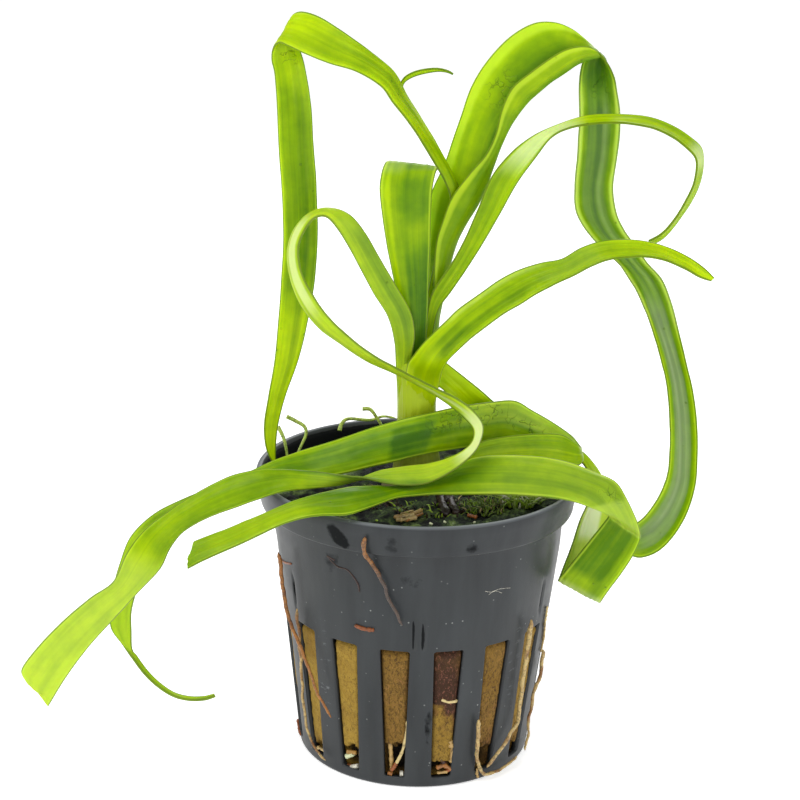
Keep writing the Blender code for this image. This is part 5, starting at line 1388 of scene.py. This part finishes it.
def pot_finish(plastic):
    """Moulded polypropylene, charcoal grey: a fine satin grain, faint flow
    marks down the wall, chalky lime specks, wet stains, painted shade beside
    the ribs, in the side slits and over the inside wall, and painted highlights
    down the sides and along the rim's top edges."""
    made, tree, shader = blank("moulded_polypropylene")
    spot = add(tree, "TexCoord", out="Object")
    stain, rim_highlight = (add(tree, "Attribute", out="Fac", attribute_name=key) for key in ("stain", "rim_highlight"))
    flow = add(tree, "TexNoise", {"Scale": 1.0, "Detail": 4.0, "Vector": add(
        tree, "Mapping", {"Vector": spot, "Scale": [1 / (side * MM) for side in (3.846, 3.846, 33.33)]})})
    scratch = add(tree, "TexNoise", {"Scale": 1.0, "Detail": 5.0, "Roughness": 0.7, "Vector": add(
        tree, "Mapping", {"Vector": spot, "Scale": [1 / (side * MM) for side in (2.381, 2.381, 0.7692)]})})
    grain = add(tree, "TexNoise", {"Vector": spot, "Scale": 1 / (0.3846 * MM), "Detail": 3.0})
    blotch = add(tree, "TexNoise", {
        "Vector": spot, "Scale": 1 / (8.333 * MM), "Detail": 5.0, "Roughness": 0.65})
    colour = add(tree, "ValToRGB", (blotch,), stops=[
        (place, tuple(part * share for part in plastic))
        for place, share in ((0.3, 0.72), (0.55, 1.0), (0.8, 1.5))])

    # Lime specks in cells of 1.6 mm, on some blotches only.
    cell = add(tree, "TexVoronoi", {"Vector": spot, "Scale": 1 / (1.613 * MM)})
    specks = add(tree, "Math", (add(tree, "MapRange", (cell, 0.11, 0.05, 0.0, 1.0)),
                                add(tree, "MapRange", (blotch, 0.49, 0.6, 0.0, 1.0))),
                 operation="MULTIPLY")

    # Water soaks in blotches round a stain, and the painted shade darkens the same way; the painted
    # highlights down the sides are broken by the scratches, and the rim's top edges add one of their own.
    uneven = add(tree, "Math", (blotch, 0.5), operation="SUBTRACT")
    uneven = add(tree, "Math", (uneven, 1.6, stain), operation="MULTIPLY_ADD")
    soaked = add(tree, "MapRange", (uneven, 0.35, 0.55, 0.0, 0.8))
    painted_highlight = add(tree, "Math", (add(tree, "MapRange", (stain, 0.0, -0.5, 0.0, 1.0)),
                                 add(tree, "MapRange", (scratch, 0.58, 0.66, 0.0, 0.7))),
                  operation="MULTIPLY")
    painted_highlight = add(tree, "Math", (rim_highlight, 0.35, painted_highlight), operation="MULTIPLY_ADD")

    flow_share = add(tree, "Math", (flow, 0.22), operation="MULTIPLY")
    speck_share = add(tree, "Math", (specks, 0.6), operation="MULTIPLY")
    for share, over in ((flow_share, "#6d7375"), (speck_share, "#9ca09c"), (soaked, "#050607"),
                        (painted_highlight, "#9aa0a4")):
        colour = add(tree, "Mix", {0: share, 6: colour, 7: linear(over)}, 2, data_type="RGBA")
    relief = add(tree, "Math", (grain, 0.016), operation="MULTIPLY")
    for pattern in (flow, specks):
        relief = add(tree, "Math", (pattern, 0.05, relief), operation="MULTIPLY_ADD")
    feed(tree, shader, {
        "Base Color": colour, "IOR": 1.49,
        "Specular IOR Level": add(tree, "MapRange", (soaked, 0.0, 1.0, 0.32, 0.0)),
        "Roughness": add(tree, "MapRange", (blotch, 0.3, 0.7, 0.34, 0.5)),
        "Normal": add(tree, "Bump", {"Height": relief, "Strength": 0.6, "Distance": 1.0 * MM})})
    return made


def wool_finish():
    """Spun mineral wool, wet and stained: ochre fibres drawn 0.4 mm apart,
    which is as fine as shows, with brown and near black stains, and dark moss
    over the top."""
    made, tree, shader = blank("spun_mineral_wool")
    spot = add(tree, "TexCoord", out="Object")
    soaked, hollow = (add(tree, "Attribute", out="Fac", attribute_name=key) for key in ("stain", "hollow"))
    stain = add(tree, "TexNoise", {
        "Vector": spot, "Scale": 1 / (11.765 * MM), "Detail": 4.0, "Roughness": 0.6})
    fibre = add(tree, "TexNoise", {
        "Scale": 1.0, "Detail": 5.0, "Roughness": 0.7, "Distortion": 1.2,
        "Vector": add(tree, "Mapping", {
            "Vector": spot, "Rotation": (0.3, 0.5, 0.0),
            "Scale": [1 / (side * MM) for side in (0.4, 0.4, 0.7692)]})})
    moss = add(tree, "TexNoise", {
        "Vector": spot, "Scale": 1 / (3.846 * MM), "Detail": 5.0, "Roughness": 0.65})
    colour, mossy = (
        add(tree, "ValToRGB", (pattern,), stops=[(place, linear(hex_colour)) for place, hex_colour in stops])
        for pattern, stops in (
            (stain, ((0.30, "#7c5c1a"), (0.45, "#94752a"), (0.55, "#a58634"), (0.75, "#876722"))),
            (moss, ((0.34, "#08080a"), (0.46, "#1c211c"), (0.54, "#3c4a2e"), (0.62, "#6c8044"),
                    (0.70, "#9aa494")))))
    wet = add(tree, "Math", (stain, 0.5), operation="SUBTRACT")
    wet = add(tree, "Math", (wet, 1.1, soaked), operation="MULTIPLY_ADD")
    brown = add(tree, "MapRange", (wet, 0.15, 0.75, 0.0, 0.85))
    black = add(tree, "MapRange", (wet, 0.75, 1.0, 0.0, 0.9))
    threads = add(tree, "Math", (add(tree, "MapRange", (fibre, 0.47, 0.62, 0.0, 0.85)),
                                 add(tree, "MapRange", (wet, 0.0, 0.5, 0.35, 1.0))),
                  operation="MULTIPLY")
    flecks = add(tree, "Math", (add(tree, "MapRange", (fibre, 0.46, 0.36, 0.0, 0.7)),
                                add(tree, "MapRange", (wet, 0.4, 0.9, 0.0, 1.0))),
                 operation="MULTIPLY")
    # The hollows at the slots' feet are painted near black, as shadow.
    shadow = add(tree, "Math", (hollow, 0.97), operation="MULTIPLY")
    height = add(tree, "SeparateXYZ", (spot,), "Z")
    on_top = add(tree, "MapRange", (height, MOSS_FROM * MM, MOSS_FULL * MM, 0.0, 1.0))
    for share, over in ((brown, linear("#6a4a1c")), (black, linear("#2c1414")),
                        (threads, linear("#3d2810")), (flecks, linear("#96604a")),
                        (shadow, linear("#0c0806")), (on_top, mossy)):
        colour = add(tree, "Mix", {0: share, 6: colour, 7: over}, 2, data_type="RGBA")
    relief = add(tree, "Math", (fibre, 0.35), operation="MULTIPLY")
    relief = add(tree, "Math", (moss, 0.4, relief), operation="MULTIPLY_ADD")
    feed(tree, shader, {
        "Base Color": colour, "Roughness": 0.78, "Specular IOR Level": 0.25,
        "Normal": add(tree, "Bump", {"Height": relief, "Strength": 0.8, "Distance": 1.0 * MM})})
    return made


def neck_finish():
    """The blanched leaf bases round the bulb: pale yellow green flesh under a
    thin skin, with fine lengthwise veins 0.7 mm apart, darkening to brown
    papery skin where the bulb goes down into the wool."""
    made, tree, shader = blank("blanched_leaf_base")
    spot = add(tree, "TexCoord", out="Object")
    veins = add(tree, "TexNoise", {"Scale": 1.0, "Detail": 3.0, "Vector": add(
        tree, "Mapping", {"Vector": spot, "Scale": [1 / (side * MM) for side in (0.6667, 0.6667, 16.67)]})})
    blotch = add(tree, "TexNoise", {"Vector": spot, "Scale": 1 / (5.263 * MM), "Detail": 3.0})
    height = add(tree, "MapRange", (
        add(tree, "SeparateXYZ", (spot,), "Z"), SKIN_TO * MM, GREEN_FROM * MM, 0.0, 1.0))
    colour = add(tree, "ValToRGB", (height,), stops=[(place, linear(hex_colour)) for place, hex_colour in (
        (0.0, "#5c4a1c"), (0.12, "#7e8430"), (0.4, "#9fb01c"), (0.8, "#a2b90c"), (1.0, "#9ab404"))])
    for share, over in ((add(tree, "Math", (veins, 0.10), operation="MULTIPLY"), "#cfd966"),
                        (add(tree, "MapRange", (blotch, 0.6, 0.75, 0.0, 0.4)), "#5f7a24")):
        colour = add(tree, "Mix", {0: share, 6: colour, 7: linear(over)}, 2, data_type="RGBA")
    feed(tree, shader, {
        "Base Color": colour, "Roughness": 0.38, "Specular IOR Level": 0.2,
        "Subsurface Weight": 0.3, "Subsurface Radius": (0.8, 1.0, 0.3), "Subsurface Scale": 1.0 * MM,
        "Normal": add(tree, "Bump", {"Height": veins, "Strength": 0.35, "Distance": 0.3 * MM})})
    return made


def root_finish(name, pale, brown, dying=0.0):
    """A living root: cream where it is young and brown with silt where it is
    old, in patches 3 mm long, with a matt corky skin cracked 0.4 mm apart. A
    dying one turns grey black over its lower half."""
    made, tree, shader = blank(name)
    spot = add(tree, "TexCoord", out="Object")
    reach = add(tree, "Attribute", out="Fac", attribute_name="reach")
    patch = add(tree, "TexNoise", {"Vector": spot, "Scale": 1 / (3.03 * MM), "Detail": 3.0})
    skin = add(tree, "TexNoise", {"Vector": spot, "Scale": 1 / (0.4167 * MM), "Detail": 2.0})
    colour = add(tree, "ValToRGB", (patch,), stops=[
        (place, tuple(one * share + other * (1 - share) for one, other in zip(pale, brown)))
        for place, share in ((0.35, 0.0), (0.5, 1.0), (0.7, 0.6))])
    lower = add(tree, "Math", (patch, 0.5, reach), operation="MULTIPLY_ADD")
    for share, over in ((add(tree, "MapRange", (skin, 0.5, 0.62, 0.0, 0.55)), "#3c2412"),
                        (add(tree, "MapRange", (lower, 0.6, 0.8, 0.0, dying)), "#33302f")):
        colour = add(tree, "Mix", {0: share, 6: colour, 7: linear(over)}, 2, data_type="RGBA")
    feed(tree, shader, {
        "Base Color": colour, "Roughness": 0.42, "Subsurface Weight": 0.1,
        "Subsurface Scale": 0.6 * MM,
        "Normal": add(tree, "Bump", {"Height": skin, "Strength": 0.5, "Distance": 0.2 * MM})})
    return made


def floor_finish(white):
    """A matt white painted board: plain, with a breath of unevenness in
    clouds 170 mm wide. It glows a little, as a lit backdrop does."""
    made, tree, shader = blank("matt_white_board")
    cloud = add(tree, "TexNoise", {
        "Vector": add(tree, "TexCoord", out="Object"), "Scale": 1 / (166.7 * MM)})
    colour = add(tree, "ValToRGB", (cloud,), stops=[
        (place, tuple(part * share for part in white)) for place, share in ((0.3, 0.99), (0.7, 1.0))])
    feed(tree, shader, {"Base Color": colour, "Roughness": 0.9,
                        "Emission Color": linear("#ffffff"), "Emission Strength": 0.45})
    return made


def hue(name, description, hex_colour):
    """A colour setting."""
    return bpy.props.FloatVectorProperty(
        name=name, description=description, subtype="COLOR", size=3, min=0.0, max=1.0,
        default=linear(hex_colour))


def size(name, description, millimetres):
    """A length setting, in metres as Blender holds them."""
    return bpy.props.FloatProperty(
        name=name, description=description, subtype="DISTANCE", unit="LENGTH", min=0.0,
        default=millimetres * MM, precision=5)


class OnionPotSettings(bpy.types.PropertyGroup):
    """Sizes and colours of the pot and its wool."""

    plastic: hue("Plastic", "Colour of the net pot's plastic", "#15181b")
    corner: size("Slot corner", "Radius of the slots' corners", 0.4)
    rib: size("Rib", "How far the small ribs over the slots stand out", 0.4)
    bulge: size("Wool bulge", "How far the wool presses out into the slots", 1.0)


class OnionPlantSettings(bpy.types.PropertyGroup):
    """Sizes and colours of the plant."""

    # The leaf colours run from full light to painted shade, and the shaded set is a darker copy of them:
    # painted shade for the leaves behind.
    leaf: hue("Leaf", "Colour of a fresh leaf in full light", "#b0c800")
    leaf_green: hue("Leaf green", "Colour of most of a fresh leaf", "#96b200")
    leaf_deep: hue("Leaf channel", "Colour of a fresh leaf's channel", "#779800")
    leaf_dark: hue("Leaf shadow", "Colour of a fresh leaf's darkest parts", "#4f7600")
    shade: hue("Shaded leaf", "Colour of a shaded leaf's light parts", "#a3bf00")
    shade_green: hue("Shaded green", "Colour of most of a shaded leaf", "#84a400")
    shade_deep: hue("Shaded channel", "Colour of a shaded leaf's channel", "#628a04")
    shade_dark: hue("Shaded shadow", "Colour of a shaded leaf's darkest parts", "#3b640c")
    root_pale: hue("Young root", "Colour of a young root", "#b8a066")
    root_brown: hue("Brown root", "Colour of a young root's silt", "#80582a")
    blade: size("Leaf thickness", "Thickness of the strap leaves", LEAF_THICKNESS)
    swell: size("Leaf swell", "How far slow waves lift a leaf's skin", 0.08)


class OnionStageSettings(bpy.types.PropertyGroup):
    """The floor and the lights."""

    floor: hue("Floor", "Colour of the floor", "#fbfbfb")
    key_power: bpy.props.FloatProperty(
        name="Key light", description="Power of the large light over the plant", subtype="POWER",
        min=0.0, default=1.8)
    fill_power: bpy.props.FloatProperty(
        name="Fill light", description="Power of the light beside the eye and the one behind",
        subtype="POWER", min=0.0, default=0.9)
    sky: bpy.props.FloatProperty(
        name="Sky", description="Strength of the even light from all round", min=0.0, default=0.6)


class ONION_OT_pot(bpy.types.Operator):
    """Makes the slotted net pot."""

    bl_idname = "onion.pot"
    bl_label = "Net pot"

    def execute(self, context):
        sizes = context.scene.onion_pot
        make_pot(pot_finish(sizes.plastic), sizes.corner / MM, sizes.rib / MM)
        return {"FINISHED"}


class ONION_OT_wool(bpy.types.Operator):
    """Makes the mineral wool plug."""

    bl_idname = "onion.wool"
    bl_label = "Mineral wool"

    def execute(self, context):
        make_wool(wool_finish(), context.scene.onion_pot.bulge / MM)
        return {"FINISHED"}


class ONION_OT_litter(bpy.types.Operator):
    """Makes the litter in the slots, and the moss and crumbs on the wool."""

    bl_idname = "onion.litter"
    bl_label = "Litter and moss"

    def execute(self, context):
        finish = litter_finish()
        make_litter(finish)
        make_moss(finish)
        return {"FINISHED"}


class ONION_OT_neck(bpy.types.Operator):
    """Makes the bulb and its neck."""

    bl_idname = "onion.neck"
    bl_label = "Bulb and neck"

    def execute(self, context):
        make_neck(neck_finish())
        return {"FINISHED"}


class ONION_OT_leaves(bpy.types.Operator):
    """Makes the nine strap leaves."""

    bl_idname = "onion.leaves"
    bl_label = "Leaves"

    def execute(self, context):
        plant = context.scene.onion_plant
        # A finish in full light and a darker copy of it, painted shade, for the leaves behind.
        fresh = leaf_finish("living_leaf", (
            plant.leaf, plant.leaf_green, plant.leaf_deep, plant.leaf_dark), 1.0)
        shaded = leaf_finish("living_leaf_shaded", (
            plant.shade, plant.shade_green, plant.shade_deep, plant.shade_dark), 7.0)
        for name in LEAVES:
            make_leaf(name, shaded if name in SHADED_LEAVES else fresh,
                      plant.blade / MM, plant.swell / MM)
        return {"FINISHED"}


class ONION_OT_roots(bpy.types.Operator):
    """Makes the roots on the pot's wall."""

    bl_idname = "onion.roots"
    bl_label = "Roots"

    def execute(self, context):
        plant = context.scene.onion_plant
        young = root_finish("young_root", plant.root_pale, plant.root_brown)
        finishes = {
            "root_left": root_finish("old_root", linear("#9a6426"), linear("#5a3010")),
            "root_front": root_finish("dying_root", linear("#8a5c2c"), linear("#4a2c16"), 0.85)}
        for name in ROOTS:
            make_root(name, finishes.get(name, young))
        return {"FINISHED"}


class ONION_OT_shoots(bpy.types.Operator):
    """Makes the pale shoots at the back of the rim."""

    bl_idname = "onion.shoots"
    bl_label = "Shoots"

    def execute(self, context):
        finish = root_finish("pale_shoot", linear("#b9cf5e"), linear("#8fae3c"))
        for name in ROOTLETS:
            make_shoot(name, finish)
        return {"FINISHED"}


def facing(place, right, up, back):
    """The matrix of a camera or light at a place in millimetres."""
    return Matrix([(right[row], up[row], back[row], place[row] * MM) for row in range(3)]
                  + [(0.0, 0.0, 0.0, 1.0)])


class ONION_OT_stage(bpy.types.Operator):
    """Makes the floor, the lights, the sky and the camera."""

    bl_idname = "onion.stage"
    bl_label = "Stage"

    def execute(self, context):
        settings = context.scene.onion_stage
        corners = [(-1, -1, 0), (1, -1, 0), (1, 1, 0), (-1, 1, 0)]
        floor = lay_mesh("floor", np.array(corners) * FLOOR_REACH, [(0, 1, 2, 3)])
        floor.data.materials.append(floor_finish(settings.floor))
        for name, place, size, power in (
                ("key_light", (-260.0, -220.0, 480.0), 420.0, settings.key_power),
                ("fill_light", (330.0, -420.0, 240.0), 380.0, settings.fill_power),
                ("rim_light", (120.0, 420.0, 330.0), 360.0, settings.fill_power)):
            data = bpy.data.lights.new(name, "AREA")
            data.energy = power
            data.size = size * MM
            light = bpy.data.objects.new(name, data)
            context.scene.collection.objects.link(light)
            back = unit(np.array(place) - LIT_PLACE)
            side = unit(np.cross((0.0, 0.0, 1.0), back))
            light.matrix_world = facing(place, side, np.cross(back, side), back)
        world = bpy.data.worlds.new("even_sky")
        world.use_nodes = True
        feed(world.node_tree, world.node_tree.nodes["Background"], {
            "Color": linear("#ffffff"), "Strength": settings.sky})
        context.scene.world = world
        lens = bpy.data.cameras.new("eye")
        lens.sensor_width = EYE_SENSOR
        lens.lens = EYE_SENSOR * EYE_FOCUS / PICTURE_WIDTH
        lens.clip_start = 10.0 * MM
        lens.clip_end = 20000.0 * MM
        eye = bpy.data.objects.new("eye", lens)
        context.scene.collection.objects.link(eye)
        eye.matrix_world = facing(EYE, RIGHT, UP, -AHEAD)
        context.scene.camera = eye
        context.scene.view_settings.view_transform = "Standard"
        return {"FINISHED"}


STEPS = (ONION_OT_pot, ONION_OT_wool, ONION_OT_litter, ONION_OT_neck, ONION_OT_leaves,
         ONION_OT_roots, ONION_OT_shoots, ONION_OT_stage)
GROUPS = (("onion_pot", OnionPotSettings), ("onion_plant", OnionPlantSettings),
          ("onion_stage", OnionStageSettings))


class ONION_PT_panel(bpy.types.Panel):
    """Lists the plant's steps and settings."""

    bl_idname = "ONION_PT_panel"
    bl_label = "Water onion"
    bl_space_type = "VIEW_3D"
    bl_region_type = "UI"
    bl_category = "Water onion"

    def draw(self, context):
        layout = self.layout
        for name, group in GROUPS:
            for key in group.__annotations__:
                layout.prop(getattr(context.scene, name), key)
        for step in STEPS:
            layout.operator(step.bl_idname)


def register():
    for name, group in GROUPS:
        bpy.utils.register_class(group)
        setattr(bpy.types.Scene, name, bpy.props.PointerProperty(type=group))
    for step in STEPS:
        bpy.utils.register_class(step)
    bpy.utils.register_class(ONION_PT_panel)


def unregister():
    bpy.utils.unregister_class(ONION_PT_panel)
    for step in reversed(STEPS):
        bpy.utils.unregister_class(step)
    for name, group in reversed(GROUPS):
        delattr(bpy.types.Scene, name)
        bpy.utils.unregister_class(group)


def main():
    register()
    for step in STEPS:
        group, name = step.bl_idname.split(".")
        getattr(getattr(bpy.ops, group), name)()
    bpy.context.view_layer.update()


if __name__ == "__main__":
    main()
